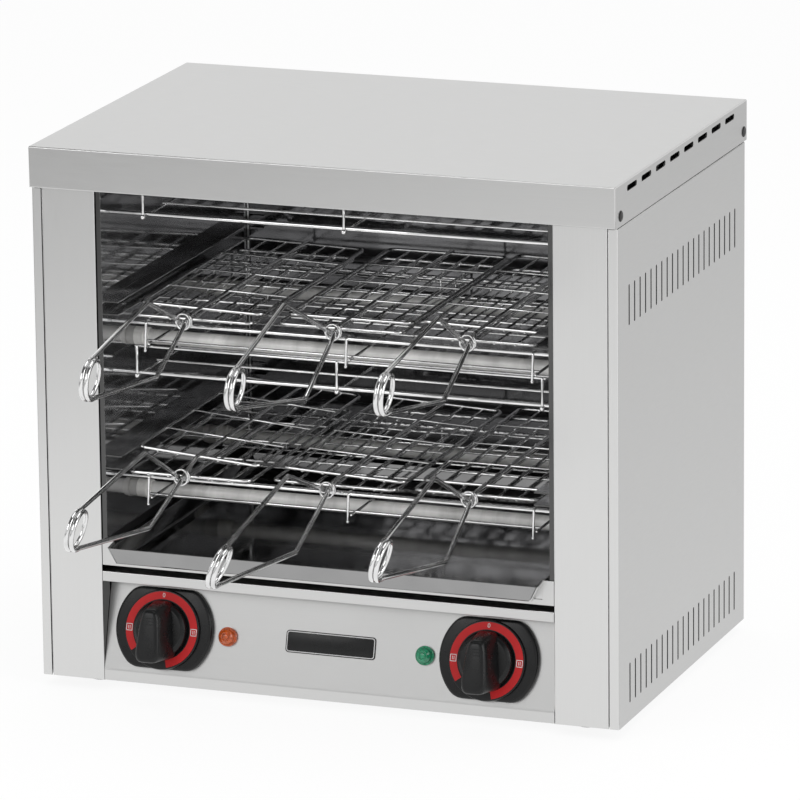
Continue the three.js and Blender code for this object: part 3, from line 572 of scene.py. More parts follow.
dressed("top_cover", [CASING_TOP, LID_FACE, LID_SIDE_SHADED], outer_lid_fold, 1.1,
        corners=through_side, corner_radius=1.9, paint=lid_paint)
for side in ("left", "right"):
    dressed(side + "_upright", [CASING_FRONT_LIT, JAMB_PAINTED_REFLECTION], upright_fold, 0.5, paint=upright_paint)
    dressed(side + "_side_panel", [CASING_SIDE_SHADED, DULL_PAINTED_SHADE, CASING_FRONT_LIT], side_fold, 0.9, 0,
            corners=through_side, corner_radius=1.1, paint=side_paint)
    dressed(side + "_liner", [LINER, DULL_PAINTED_SHADE, JAMB_PAINTED_REFLECTION], edge=0.15,
            paint=liner_paint)
# The back wall gets the darker painted-shade copy of the liner steel.
dressed("back_liner", [BACK_LINER_SHADED, DULL_PAINTED_SHADE], edge=0.15, paint=liner_paint)
dressed("control_panel", [PANEL_STEEL, PANEL_LEANING_SHADED], panel_fold, 0.9, paint=panel_paint)
dressed("chamber_floor", PANEL_STEEL, edge=0.2)
dressed("crumb_tray", TRAY_STEEL, tray_fold, 1.5, 0.2, "crumb_tray")

for node, material in (("back_panel", CASING_FRONT_LIT), ("base_plate", ZINC), ("timer_body", DARK),
                       ("selector_body", DARK)):
    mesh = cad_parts[node].data
    mesh.materials.clear()
    mesh.materials.append(material)

# Cheeks of the chamber floor, half a millimetre beside the tray's slanted ends, each with a wedge
# that joins it to its gusset. These are the corners of the right ones.
CHEEK = ((160.5, -9, 92.9), (160.5, 1.2, 92.9), (166.5, 1.2, 106.7), (166.5, -10.4, 104.9))
WEDGE = ((160.5, 1, 92.9), (167.3, 1, 92.9), (167.3, 1, 106.7), (166.5, 1, 106.7))
CHEEK_THICK, WEDGE_THICK = 0.7, 0.6
bm = bmesh.new()
for side in (-1, 1):
    for corners, shift in ((CHEEK, (side * CHEEK_THICK, 0, 0)), (WEDGE, (0, WEDGE_THICK, 0))):
        face = bm.faces.new([bm.verts.new(P(side * x, y, z)) for x, y, z in corners])
        thick = bmesh.ops.extrude_face_region(bm, geom=[face])["geom"]
        bmesh.ops.translate(bm, verts=[v for v in thick if isinstance(v, bmesh.types.BMVert)],
                            vec=Vector(shift) * MM)
piece("tray_cheeks", bm, PANEL_STEEL, "root")

# Feet, with a shallow hole for the screw in the sole
FOOT_RADIUS, FOOT_SOLE = 12, ((11, 0), (4.5, 0), (4, 1.4), (0, 1.4))
for node in ("left_front_foot", "left_back_foot", "right_front_foot", "right_back_foot"):
    low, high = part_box(node)
    middle = Matrix.Translation(((low.x + high.x) / 2, (low.y + high.y) / 2, 0))
    top = high.z / MM
    bm = bmesh.new()
    lathe(bm, rounded(mm([(0, top), (FOOT_RADIUS, top), *FOOT_SOLE]), 0.8 * MM), middle, 40)
    piece(node + "_turned", bm, RUBBER, "root", node)

# Screws in the lid's side skirts and in the back panel
SCREW_HEAD = rounded([(0, 0.9), (3.3, 0.8), (4.1, 0.2), (4.1, 0), (0, 0)], 0.3)
CROSS_LENGTH, CROSS_WIDTH, CROSS_LOW, CROSS_HIGH, CROSS_TURN = 1.9, 0.35, 0.5, 0.94, 0.4
LID_SCREW_PLACES, LID_SCREW_HEIGHT = (6.5, CASING_DEPTH - 3), 378.8
BACK_SCREW_PLACES, BACK_SCREW_HEIGHTS, BACK_SCREW_SCALE = (-190, -60, 60, 190), (14, 350), 0.8
SQUARE = ((-1, -1), (1, -1), (1, 1), (-1, 1))


def screw(bm, place, outward, scale=1.0):
    z = outward.normalized()
    x = z.orthogonal().normalized()
    matrix = Matrix((x, z.cross(x), z)).transposed().to_4x4()
    matrix.translation = place
    lathe(bm, [(r * scale * MM, h * scale * MM) for r, h in SCREW_HEAD], matrix, 24)
    arm = [(a * CROSS_LENGTH * scale * MM, b * CROSS_WIDTH * scale * MM) for a, b in SQUARE]
    for turn in (0, math.pi / 2):
        slab(bm, arm, CROSS_LOW * scale * MM, CROSS_HIGH * scale * MM,
             matrix @ Matrix.Rotation(turn + CROSS_TURN, 4, "Z"), material=1)


bm = bmesh.new()
for side in (-1, 1):
    for y in LID_SCREW_PLACES:
        screw(bm, P(side * HALF_WIDTH, y, LID_SCREW_HEIGHT), Vector((side, 0, 0)))
piece("lid_screws", bm, [SCREW_BLACK, DARK])
bm = bmesh.new()
for x in BACK_SCREW_PLACES:
    for z in BACK_SCREW_HEIGHTS:
        screw(bm, P(x, CASING_DEPTH, z), Vector((0, 1, 0)), BACK_SCREW_SCALE)
piece("back_screws", bm, [CASING_FRONT_LIT, DARK])

# ---- Heating tubes ----

QUARTZ_RADIUS, QUARTZ_TUCK = 5.5, 2
CAP_RADIUS, CAP_START, CAP_EDGE = 6.8, HALF_CHAMBER - 11, 1.1
COLLAR = ((CAP_RADIUS, CAP_START + 3.4), (7.3, CAP_START + 3.4), (7.3, CAP_START + 5),
          (CAP_RADIUS, CAP_START + 5))
ACROSS = Matrix.Rotation(math.pi / 2, 4, "Y")
for row, height in ROW.items():
    for place, y in zip(("front", "back"), TUBE_PLACES):
        node = f"{row}_{place}_heating_tube"
        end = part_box(node)[1].x
        centre = Matrix.Translation(P(0, y, height)) @ ACROSS
        reach, half = CAP_START + QUARTZ_TUCK, CAP_START / 2
        bm = bmesh.new()
        lathe(bm, mm([(QUARTZ_RADIUS, h) for h in (-reach, -half, 0, half, reach)]), centre, 40)
        cap = mm([(0, CAP_START), (CAP_RADIUS, CAP_START)]) + [(CAP_RADIUS * MM, end), (0, end)]
        for way in (-1, 1):
            for profile, edge in ((cap, CAP_EDGE), (mm(COLLAR), 0.2)):
                lathe(bm, [(r, way * h) for r, h in rounded(profile, edge * MM)], centre, 40,
                      material=1)
        piece(node + "_round", bm, [QUARTZ, CERAMIC], "root", node)

# ---- Wire guards ----

THIN = 1.0
# how far a thin wire's middle lies from a rod's, pressed a little into it
ASIDE = ROD_RADIUS + THIN - 0.3
CROSS_LAP = 0.9


def wire(bm, *places, radius=THIN, sides=10):
    sweep(bm, run(*places), radius * MM, sides)


def hooked(bm, places, bends):
    sweep(bm, bent(run(*places), bends), THIN * MM)


def cross_wire(bm, ribs, y, z):
    wire(bm, (ribs[0] - OVERHANG, y, z), (ribs[-1] + OVERHANG, y, z))


def span_rod(bm, y, z):
    wire(bm, (-ROD_END, y, z), (ROD_END, y, z), radius=ROD_RADIUS, sides=14)


def spread(count, low, high):
    return [low + (high - low) * i / (count - 1) for i in range(count)]


def ball(bm, place, radius, steps=7):
    r = radius * MM
    turns = [math.pi * k / steps for k in range(1, steps)]
    profile = [(0, -r), *[(r * math.sin(a), -r * math.cos(a)) for a in turns], (0, r)]
    lathe(bm, profile, Matrix.Translation(P(*place)), 14)


# Upper guards: ribs as shares of the chamber's width, the net's height over the tubes, a hook over
# the front rod that ends in a leg, and a hook over the back rod
UPPER_RIBS, UPPER_NET, UPPER_CROSS_WIRES, UPPER_MARGIN = (-0.42, 0.035, 0.45), 7, 6, 25
HOOK_TAIL, HOOK_TOP, HOOK_DIP, HOOK_OVER = 4.5, 2.5, 0.6, 0.6
LEG_SPLAY, LEG_DROP, LEG_TIP = 0.6, 5, 1.25
HOOK_BEND, LEG_BEND, NET_ASIDE, BACK_HOOK, BACK_LAP = 1.5, 2.2, 1.9, 4, 0.8


def upper_guard(node, tube):
    ribs = [share * 2 * HALF_CHAMBER for share in UPPER_RIBS]
    support, net = tube + SUPPORT_RISE, tube + UPPER_NET
    hook = support + ROD_RADIUS + HOOK_OVER - THIN
    front, back = SUPPORT_PLACES
    bm = bmesh.new()
    for x in ribs:
        foot = (x - LEG_SPLAY, front - ASIDE - LEG_SPLAY, net - LEG_DROP)
        hooked(bm, ((x, front + HOOK_TAIL, hook - HOOK_DIP), (x, front + HOOK_TOP, hook),
                    (x, front - ASIDE, hook), foot), [HOOK_BEND * MM, LEG_BEND * MM])
        ball(bm, foot, LEG_TIP)
        aside = x + NET_ASIDE
        wire(bm, (aside, front - ASIDE, net), (aside, CHAMBER_DEPTH - UPPER_MARGIN, net))
        hooked(bm, ((x, back - BACK_HOOK, hook), (x, back + ASIDE, hook),
                    (x, back + ASIDE, net - BACK_LAP)), LEG_BEND * MM)
    for y in spread(UPPER_CROSS_WIRES, UPPER_MARGIN, CHAMBER_DEPTH - UPPER_MARGIN):
        cross_wire(bm, ribs, y, net + CROSS_LAP)
    for y in SUPPORT_PLACES:
        span_rod(bm, y, support)
    piece(node + "_round", bm, CHROME, "root", node)


# Lower guards: baskets that hang on two rods under the tubes
LOWER_RIBS, LOWER_CROSS_WIRES, LOWER_MARGIN = (-0.442, 0.012, 0.47), 5, 62
ROD_DROP, RIM_RISE, RIM_LAP, RIM_INSET = 15.3, 4.6, 0.4, 1.9
BASKET_BEND, BALL_SINK, BALL_RADIUS = 2.2, 0.3, 2.0


def lower_guard(node, tube, shift):
    ribs = [share * 2 * HALF_CHAMBER + shift for share in LOWER_RIBS]
    rod = tube - ROD_DROP
    net, rim = rod - ASIDE, tube + RIM_RISE
    front, back = BASKET_PLACES
    bm = bmesh.new()
    for x in ribs:
        hooked(bm, ((x, front - ASIDE, rim + RIM_LAP), (x, front - ASIDE, net),
                    (x, back + ASIDE, net), (x, back + ASIDE, rim + RIM_LAP)), BASKET_BEND * MM)
        ball(bm, (x, front - ASIDE - BALL_SINK, net + BALL_SINK), BALL_RADIUS)
    for y, way in ((front, -1), (back, 1)):
        cross_wire(bm, ribs, y + way * (ASIDE - RIM_INSET), rim)
        span_rod(bm, y, rod)
    for y in spread(LOWER_CROSS_WIRES, LOWER_MARGIN, CHAMBER_DEPTH - LOWER_MARGIN):
        cross_wire(bm, ribs, y, net + CROSS_LAP)
    piece(node + "_round", bm, CHROME, "root", node)


for row in ("mid", "low"):
    upper_guard(row + "_upper_guard", ROW[row])
for row, shift in (("top", TOP_BASKET_SHIFT), ("mid", 0)):
    lower_guard(row + "_lower_guard", ROW[row], shift)

# ---- Sandwich tongs ----
# name, row, column, setback, lean, roll, lower bend, upper bend, coil lift, drop, rise, as in the
# CAD, and how far the coil leans to the right at its top, per unit of height

TONGS = (
    ("tong_1", "mid", -1.03, 0.035, 0.012, 1.5, (1.08, 0.95), (1.03, 0.87), 0.05, 1.45, 1, 0.14),
    ("tong_2", "mid", 0.03, 0.075, -0.025, 0, (1.42, 1.31), (1, 1.14), 0.1, 1, 1, 0.12),
    ("tong_3", "mid", 1.01, 0.05, 0.02, 1.2, (0.97, 1.05), (1.02, 0.89), 0.47, 1.5, 1.5, 0.12),
    ("tong_4", "low", -1.03, -0.02, -0.04, 4.5, (0.97, 1.07), (1.04, 0.71), 0.5, 2.25, 2.7, 0.24),
    ("tong_5", "low", 0, 0.03, -0.07, 2.4, (1.03, 0.84), (0.98, 1.01), -0.75, 1, 1.25, 0.4),
    ("tong_6", "low", 1, 0.07, -0.005, 0, (1.1, 1.07), (0.94, 1.02), 0.2, 1, 1, 0.3),
)
# the photograph shows about 1.5 turns of the spring
COIL_TURNS, COIL_STEPS = 1.5, 28
# behind the arms' crossing, the grids' front ends and how far each arm runs past its grid's end
LOWER_START, UPPER_START = 19, 28
LOWER_PAST, UPPER_PAST = -0.6, 6
REST_GAP, JOIN_GAP, WIRE_SIDES, SPLIT = 0.3, 0.3, 14, 8
ARM_BENDS = [30, 5.5, 8]
MESH_WIRE, MESH_SIDES, MESH_LEVEL, CROSS_LEVEL, GRID_CORNER = 0.9, 8, -0.7, 0.75, 6
MESH_START, MESH_END, CROSS_END = 0.4, 0.2, 0.6
LOOP_RADIUS, LOOP_WIRE, LOOP_STEPS, LOOP_TILT, LOOP_LEAN, LOOP_SPREAD = 5.75, 0.8, 32, 0.16, 0.7, 4


def grid_wires(bm, start, place):
    """A welded wire grid drawn at level 0, taken to its place by a function."""
    half = GRID_WIDTH / 2 - GRID_BORDER
    first, last = start + GRID_BORDER, start + GRID_LENGTH - GRID_BORDER
    corners = [(0, first), (half, first), (half, last), (-half, last), (-half, first), (0, first)]
    loop = bent([Vector((x, y, 0)) for x, y in corners], GRID_CORNER)[:-1]
    sweep(bm, [place(v) for v in loop], GRID_BORDER * MM, closed=True)

    def thin(*ends):
        sweep(bm, [place(Vector(end)) for end in ends], MESH_WIRE * MM, MESH_SIDES)

    front, back = start - MESH_START, start + GRID_LENGTH - MESH_END
    for x in spread(7, -half, half)[1:-1]:
        if abs(x) > 1:
            thin((x, front, MESH_LEVEL), (x, back, MESH_LEVEL))
    for y in spread(5, first, last)[1:-1]:
        thin((-half - CROSS_END, y, CROSS_LEVEL), (half + CROSS_END, y, CROSS_LEVEL))


for (name, row, column, setback, lean, roll, lower_bend, upper_bend, lift, drop_share, rise_share,
     shear) in TONGS:
    drop, rise = GRID_DROP * drop_share, GRID_RISE * rise_share
    rest = ROW[row] + SUPPORT_RISE + ROD_RADIUS + REST_GAP
    crossing = Vector((column * TONG_PITCH, setback * HANDLE, rest + WIRE_RADIUS + drop))

    def there(v):
        return P(*(crossing + v))

    def arm_point(y, hand, height, offset=ARM_OFFSET):
        return Vector((lean * max(-y, 0) + hand * offset, y, height))

    # the lower arm is hand -1 and the upper one hand 1; they cross, so each starts at the far side
    coil_y, coil_z, coil_half = -HANDLE, COIL_RADIUS * lift, COIL_TURNS * COIL_PITCH / 2
    join_y = coil_y + 2 * WIRE_RADIUS + JOIN_GAP
    aside = coil_half - shear * COIL_RADIUS
    arms = {}
    for hand, (bend_share, rise_part), level, end in (
            (-1, lower_bend, -drop, LOWER_START + GRID_LENGTH + LOWER_PAST),
            (1, upper_bend, rise, UPPER_START + GRID_LENGTH + UPPER_PAST)):
        bend, top = bend_share * ARM_BEND, rise_part * ARM_RISE
        height = coil_z - hand * COIL_RADIUS
        arms[hand] = bent([
            arm_point(coil_y, hand, height, aside),
            arm_point(join_y, hand, height, aside),
            arm_point(-bend, hand, -hand * top),
            Vector((hand * ARM_OFFSET, hand * level * bend / top, level)),
            Vector((hand * ARM_OFFSET, end, level)),
        ], ARM_BENDS, 8)
    coil = []
    steps = int(COIL_TURNS * COIL_STEPS)
    for i in range(1, steps):
        share = i / steps
        angle = math.pi / 2 + share * COIL_TURNS * 2 * math.pi
        up = COIL_RADIUS * math.sin(angle)
        coil.append(Vector((lean * HANDLE + coil_half * (2 * share - 1) + shear * up,
                            coil_y + COIL_RADIUS * math.cos(angle), coil_z + up)))

    # One wire from the lower grid's far end, round the spring, to the upper grid's far end, split
    # where the spring meets the arms
    path = [there(v) for v in arms[-1][::-1] + coil + arms[1]]
    first, last = len(arms[-1]) - SPLIT, len(arms[-1]) + len(coil) + SPLIT - 1
    helper = bmesh.new()
    frames = sweep(helper, path, WIRE_RADIUS * MM, WIRE_SIDES)
    helper.free()

    for hand, body, jaw, part, cut, level, start, tip in (
            (-1, name, "lower", path[:first + 1], 0, -drop, LOWER_START, 0),
            (1, f"{name}_upper", "upper", path[last:], last, rise, UPPER_START, roll)):
        bm = bmesh.new()
        sweep(bm, part, WIRE_RADIUS * MM, WIRE_SIDES, start=frames[cut][0])
        tilt = Matrix.Rotation(math.radians(tip), 3, "Y")
        base = Vector((hand * ARM_OFFSET, 0, level))
        grid_wires(bm, start, lambda v: there(tilt @ v + base))
        node = f"{name}_{jaw}_jaw"
        piece(node + "_round", bm, CHROME, body, node, 50)

    bm = bmesh.new()
    sweep(bm, path[first:last + 1], WIRE_RADIUS * MM, WIRE_SIDES, start=frames[first][0])
    spring = piece(f"{name}_spring_round", bm, SPRING, None, smooth=60)
    centre, half = there(Vector((lean * HANDLE, coil_y, coil_z))), Vector((coil_half * MM, 0, 0))
    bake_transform(spring)
    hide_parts(f"{name}_spring")

    bm = bmesh.new()
    for tilt in (-LOOP_TILT, LOOP_TILT):
        turn = Matrix.Rotation(tilt, 3, "Z") @ Matrix.Rotation(tilt * LOOP_LEAN, 3, "X")
        loop = []
        for k in range(LOOP_STEPS):
            a = 2 * math.pi * k / LOOP_STEPS
            loop.append(turn @ Vector((LOOP_RADIUS * math.cos(a), 0, LOOP_RADIUS * math.sin(a)))
                        + Vector((0, tilt * LOOP_SPREAD, 0)))
        sweep(bm, [there(v) for v in loop], LOOP_WIRE * MM, 8, closed=True)
    piece(f"{name}_ring_round", bm, SPRING, f"{name}_ring", f"{name}_ring", 60)

# ---- Control panel pieces ----


def on_panel(x, height):
    """The frame on the leaning face, with X along the panel, Y up it and Z out of it."""
    s, c = math.sin(PANEL_LEAN), math.cos(PANEL_LEAN)
    matrix = Matrix(((1, 0, 0), (0, s, -c), (0, c, s))).to_4x4()
    matrix.translation = P(x, (height - PANEL_SKIRT) * math.tan(PANEL_LEAN), height)
    return matrix


def arc(radius, start, end, steps):
    turns = [start + (end - start) * k / steps for k in range(steps + 1)]
    return [(radius * MM * math.cos(a), radius * MM * math.sin(a)) for a in turns]


def plate_outline(half_x, half_y, radius, middle=0, steps=6):
    """A rounded rectangle with its middle some way up from the origin."""
    corners = [Vector((a * half_x, middle + b * half_y, 0))
               for a, b in ((0, -1), *SQUARE[1:], SQUARE[0], (0, -1))]
    return mm([(v.x, v.y) for v in bent(corners, radius, steps)[:-1]])


def text_mesh(bm, body, size, thick, matrix, material):
    curve = bpy.data.curves.new("digit", "FONT")
    curve.body, curve.size, curve.align_x, curve.align_y = body, size * MM, "CENTER", "CENTER"
    curve.extrude = thick * MM
    holder = bpy.data.objects.new("digit", curve)
    bpy.context.scene.collection.objects.link(holder)
    evaluated = holder.evaluated_get(bpy.context.evaluated_depsgraph_get())
    mesh = bpy.data.meshes.new_from_object(evaluated)
    mesh.transform(matrix)
    for polygon in mesh.polygons:
        polygon.material_index = material
    bm.from_mesh(mesh)
    bpy.data.objects.remove(holder)
    bpy.data.meshes.remove(mesh)
    bpy.data.curves.remove(curve)


def slab_ring(bm, outer, inner, start, end, low, high, matrix, material, steps=96):
    """A flat sector of a ring."""
    rows = []
    for k in range(steps + 1):
        a = start + (end - start) * k / steps
        c, s = math.cos(a), math.sin(a)
        rows.append([bm.verts.new(matrix @ Vector((r * MM * c, r * MM * s, h * MM)))
                     for r, h in ((inner, low), (outer, low), (outer, high), (inner, high))])
    for a, b in zip(rows, rows[1:]):
        skin(bm, a, b, material)
    bm.faces.new(rows[0]).material_index = material
    bm.faces.new(rows[-1][::-1]).material_index = material


def dial_outline(radius, flat, corner, rise):
    """A circle with flat top and bottom and rounded corners, drawn anticlockwise."""
    x, y = math.sqrt((radius - corner) ** 2 - (flat - corner) ** 2) * MM, (flat - corner) * MM
    turn = math.atan2(y, x)
    quarter = arc(radius, 0, turn, 12)[1:]
    quarter += [(x + a, y + b) for a, b in arc(corner, turn, math.pi / 2, 8)[1:]]
    points = quarter + [(-a, b) for a, b in quarter[::-1]] + [(-radius * MM, 0)]
    points += [(-a, -b) for a, b in quarter]
    points += [(a, -b) for a, b in quarter[::-1]] + [(radius * MM, 0)]
    return [(a, b + rise * MM) for a, b in points]


# Dial plates, with heights out from the panel
DIAL_RADIUS, DIAL_FLAT, DIAL_CORNER, DIAL_RISE = 38, 30, 14, 0.8
DIAL_LOW, DIAL_HIGH, DIAL_EDGE = 0.3, 5.3, 2.2
DIAL_FACE = ((0, 4), (29.9, 4.6), (29.2, 8.1), (21.8, 8.4), (20.9, 7.9), (0, 7.9))
# the red ring runs from about half past five over the top to about a quarter to eight
RED_OUTER, RED_INNER, RED_LOW, RED_HIGH = 28.2, 22.6, 8.2, 8.56
RED_START, RED_END = math.radians(-78), math.radians(217)
# the prints on the ring: a plain 0, and a symbol as strokes with their size and place
PRINT_RADIUS, PRINT_LOW, PRINT_THICK = 25.4, 8.58, 0.1
STROKES = ((4.6, 0.5, 0, 2.4), (4.6, 0.5, 0, -2.4), (0.5, 5.2, 2.2, 0), (0.5, 5.2, -2.2, 0),
           (0.4, 2.6, -0.6, 0), (0.4, 2.6, 0.6, 0))
DIGIT_SIZE, DIGIT_LEVEL, DIGIT_THICK = 4.6, 8.62, 0.06


def dial(node, x):
    at = on_panel(x, KNOB_HEIGHT)
    bm = bmesh.new()
    slab(bm, dial_outline(DIAL_RADIUS, DIAL_FLAT, DIAL_CORNER, DIAL_RISE), DIAL_LOW * MM,
         DIAL_HIGH * MM, at, DIAL_EDGE * MM, 4)
    lathe(bm, rounded(mm(DIAL_FACE), 0.7 * MM), at, 72)
    slab_ring(bm, RED_OUTER, RED_INNER, RED_START, RED_END, RED_LOW, RED_HIGH, at, 1)
    for way in (1, -1):
        place = at @ Matrix.Translation((way * PRINT_RADIUS * MM, 0, PRINT_LOW * MM))
        for w, h, dx, dy in STROKES:
            slab(bm, mm([(dx + a * w / 2, dy + b * h / 2) for a, b in SQUARE]), 0,
                 PRINT_THICK * MM, place, material=2)
    text_mesh(bm, "0", DIGIT_SIZE, DIGIT_THICK,
              at @ Matrix.Translation((0, PRINT_RADIUS * MM, DIGIT_LEVEL * MM)), 2)
    piece(node + "_detailed", bm, [BLACK, RED, WHITE_PRINT], "root", node, 35)


# Knobs. BASE is how far a knob's foot lies out from the panel; the grip's levels are over it.
BASE = 8.8
KNOB_BODY = ((0, BASE), (20.5, BASE), (20.2, BASE + 4.2), (17.5, BASE + 6), (0, BASE + 6.6))
SHAFT = ((0, -9.2), (3, -9.2), (3, BASE), (0, BASE))
GRIP_FOOT, GRIP_TOP, GRIP_SIDES, GRIP_SQUARENESS = 2.5, 27, 72, 4.2
GRIP_LENGTH, GRIP_WIDTH, GRIP_DROP = 43, 19, 5
# how much shorter and narrower the grip's top is, and its flare toward the lower end
GRIP_SHORTER, GRIP_NARROWER, FLARE_MIDDLE, FLARE_SLOPE = 4, 6, 1.27, 0.54
# height and how far the cross-section is drawn in
GRIP_LEVELS = ((0.8, 0), (GRIP_FOOT, 0), (9, 0), (16, 0), (22, 0), (24.6, 0.15), (25.9, 0.7),
               (26.7, 1.7), (GRIP_TOP, 3.2))
RIDGES, RIDGE_FIRST, RIDGE_PITCH, RIDGE_HALF, RIDGE_WIDER = 3, 8.6, 2.2, 3.6, 0.2
RIDGE_WIDTH, RIDGE_LOW, RIDGE_HIGH, RIDGE_EDGE = 0.4, BASE + 26.4, BASE + 27.35, 0.25


def power(value, exponent):
    return math.copysign(abs(value) ** exponent, value)


def knob(node, x):
    bm = bmesh.new()
    matrix = on_panel(x, KNOB_HEIGHT)
    lathe(bm, rounded(mm(KNOB_BODY), 1.2 * MM, 5), matrix, 72)
    lathe(bm, mm(SHAFT), matrix, 24)
    # the grip: cross-sections up its height, each a rounded bar that widens toward its lower end
    rows = []
    for height, draw_in in GRIP_LEVELS:
        share = max((height - GRIP_FOOT) / (GRIP_TOP - GRIP_FOOT), 0)
        length = GRIP_LENGTH - GRIP_SHORTER * share - 2 * draw_in
        width = GRIP_WIDTH - GRIP_NARROWER * share - 1.6 * draw_in
        row = []
        for k in range(GRIP_SIDES):
            a = 2 * math.pi * k / GRIP_SIDES
            u = power(math.cos(a), 2 / GRIP_SQUARENESS) * width / 2
            v = power(math.sin(a), 2 / GRIP_SQUARENESS) * length / 2
            u *= FLARE_MIDDLE - FLARE_SLOPE * v / length
            place = Vector((u * MM, (v - GRIP_DROP * share) * MM, (BASE + height) * MM))
            row.append(bm.verts.new(matrix @ place))
        rows.append(row)
    loft(bm, rows)
    # fine ridges across the outer face's upper part
    for k in range(RIDGES):
        outline = plate_outline(RIDGE_HALF + RIDGE_WIDER * k, RIDGE_WIDTH, 0.3,
                                RIDGE_FIRST - RIDGE_PITCH * k, 3)
        slab(bm, outline, RIDGE_LOW * MM, RIDGE_HIGH * MM, matrix, RIDGE_EDGE * MM, 2)
    piece(node + "_detailed", bm, BLACK, node, node, 42)


LAMP = ((0, -14), (5.4, -14), (5.4, 0.3), (7.2, 0.3), (7.2, 2), (6.6, 2.6), (6.1, 2.2), (5.6, 3),
        (5.2, 5.4), (3.4, 7), (2.6, 6.2), (1.8, 7.3), (0, 7.4))


def lamp(node, x, glass):
    bm = bmesh.new()
    lathe(bm, rounded(mm(LAMP), 0.35 * MM), on_panel(x, LAMP_HEIGHT), 48)
    piece(node + "_detailed", bm, glass, "root", node, 50)


for control, side in (("timer", -1), ("selector", 1)):
    dial(control + "_dial_plate", side * KNOB_PLACE - CONTROL_SHIFT)
    knob(control + "_knob", side * KNOB_PLACE - CONTROL_SHIFT)
lamp("left_orange_pilot_light", -LAMP_PLACE - CONTROL_SHIFT, ORANGE)
lamp("right_green_pilot_light", LAMP_PLACE - CONTROL_SHIFT, GREEN)

# Bare badge plate: a black plate in a thin pale frame. Each layer has its half sizes, its corner
# radius, its lower and upper level, its edge and its material.
BADGE_PLACE, BADGE_HEIGHT = 0.3, 40.9
BADGE_LAYERS = ((35, 8.3, 2.6, 0.02, 0.7, 0.25, 0), (34.3, 7.6, 2.1, 0.5, 0.8, 0.1, 1),
                (33.7, 7.0, 1.6, 0.5, 0.86, 0.1, 0))
bm = bmesh.new()
badge = on_panel(BADGE_PLACE, BADGE_HEIGHT)
for half_x, half_y, radius, low, high, edge, material in BADGE_LAYERS:
    slab(bm, plate_outline(half_x, half_y, radius), low * MM, high * MM, badge, edge * MM, 2,
         material)
piece("bare_badge_plate", bm, [BLACK, WHITE_PRINT])

# Cord gland in the back panel, its profile closed round the cord's hole
GLAND = ((4, -8), (7, -8), (7, 0.3), (10, 0.3), (10, 4.5), (7.4, 5.2), (7, 9), (4.4, 9), (4, 8))
low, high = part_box("cord_gland")
place = Vector(((low.x + high.x) / 2, CASING_DEPTH * MM + FRONT, (low.z + high.z) / 2))
bm = bmesh.new()
outline = rounded(mm(GLAND), 0.4 * MM)
lathe(bm, outline + [outline[0]],
      Matrix.Translation(place) @ Matrix.Rotation(-math.pi / 2, 4, "X"))
piece("cord_gland_turned", bm, BLACK, "root", "cord_gland")

# Rounded edge of the liners' seam at the back corners, partly lit by the light it catches, partly a
# painted highlight, brighter than the liner; and the folded edge behind the gap between
# each upright and its side panel: place, lower end, radius and material
SEAM_TOP = 383
SEAMS = (
    ("_liner_seam", HALF_CHAMBER - 1.2, CHAMBER_DEPTH - 1, 94, 0.9, SEAM_HIGHLIGHT, "bright_liner"),
    ("_front_seam", 217.55, 1.85, 1.5, 0.8, CASING_FRONT_LIT, "brushed_casing"),
)
for kind, x, y, bottom, radius, material, slot in SEAMS:
    for side, way in (("left", -1), ("right", 1)):
        bm = bmesh.new()
        wire(bm, (way * x, y, bottom), (way * x, y, SEAM_TOP), radius=radius)
        piece(side + kind, bm, material, "root")

# ---- Stage, light and camera ----

# Brightness of the floor as camera rays see it and as mirror rays do, per metre along X and Y
FLOOR_SEEN, FLOOR_GLOW_SHARE, FLOOR_SHADE = 1.02, 0.88, 0.92
MIRRORED_MIDDLE, MIRRORED_X, MIRRORED_Y, MIRRORED_LEAST = 1.681, 0.85, 0.316, 0.4
MIRRORED_MOST, MOST_Y = 1.02, -0.07


def stage_material(name, shade):
    """A pale floor that camera and mirror rays see nearly white. Mirror rays see it fall off
    toward the front left, as a lit sweep does."""
    material = bpy.data.materials.new(name)
    net = Nodes(material)
    shader = net.nodes["Principled BSDF"]
    net.feed(shader.inputs, {"Base Color": (shade, shade, shade, 1), "Roughness": 0.9,
                             "Specular IOR Level": 0.1})
    rays = net.nodes.new("ShaderNodeLightPath").outputs
    mirror = net.math("MAXIMUM", rays["Is Glossy Ray"], rays["Is Transmission Ray"])
    seen = net.math("MAXIMUM", rays["Is Camera Ray"], mirror)
    x, y, _ = net.axes("Object")
    slope = net.math("ADD", net.math("MULTIPLY", x, MIRRORED_X),
                     net.math("MULTIPLY", y, MIRRORED_Y))
    most = net.math("ADD", net.math("MULTIPLY", y, MOST_Y), MIRRORED_MOST)
    graded = net.math("MAXIMUM", net.math("ADD", slope, MIRRORED_MIDDLE), MIRRORED_LEAST)
    graded = net.math("MINIMUM", graded, most)
    glow = net.nodes.new("ShaderNodeEmission")
    net.feed(glow.inputs, {"Color": (1, 1, 1, 1), "Strength": net.mix(mirror, FLOOR_SEEN, graded)})
    mix = net.nodes.new("ShaderNodeMixShader")
    net.feed(mix.inputs, {0: net.math("MULTIPLY", seen, FLOOR_GLOW_SHARE), 1: shader.outputs[0],
                          2: glow.outputs[0]})
    net.feed(net.nodes["Material Output"].inputs, {"Surface": mix.outputs[0]})
    return material


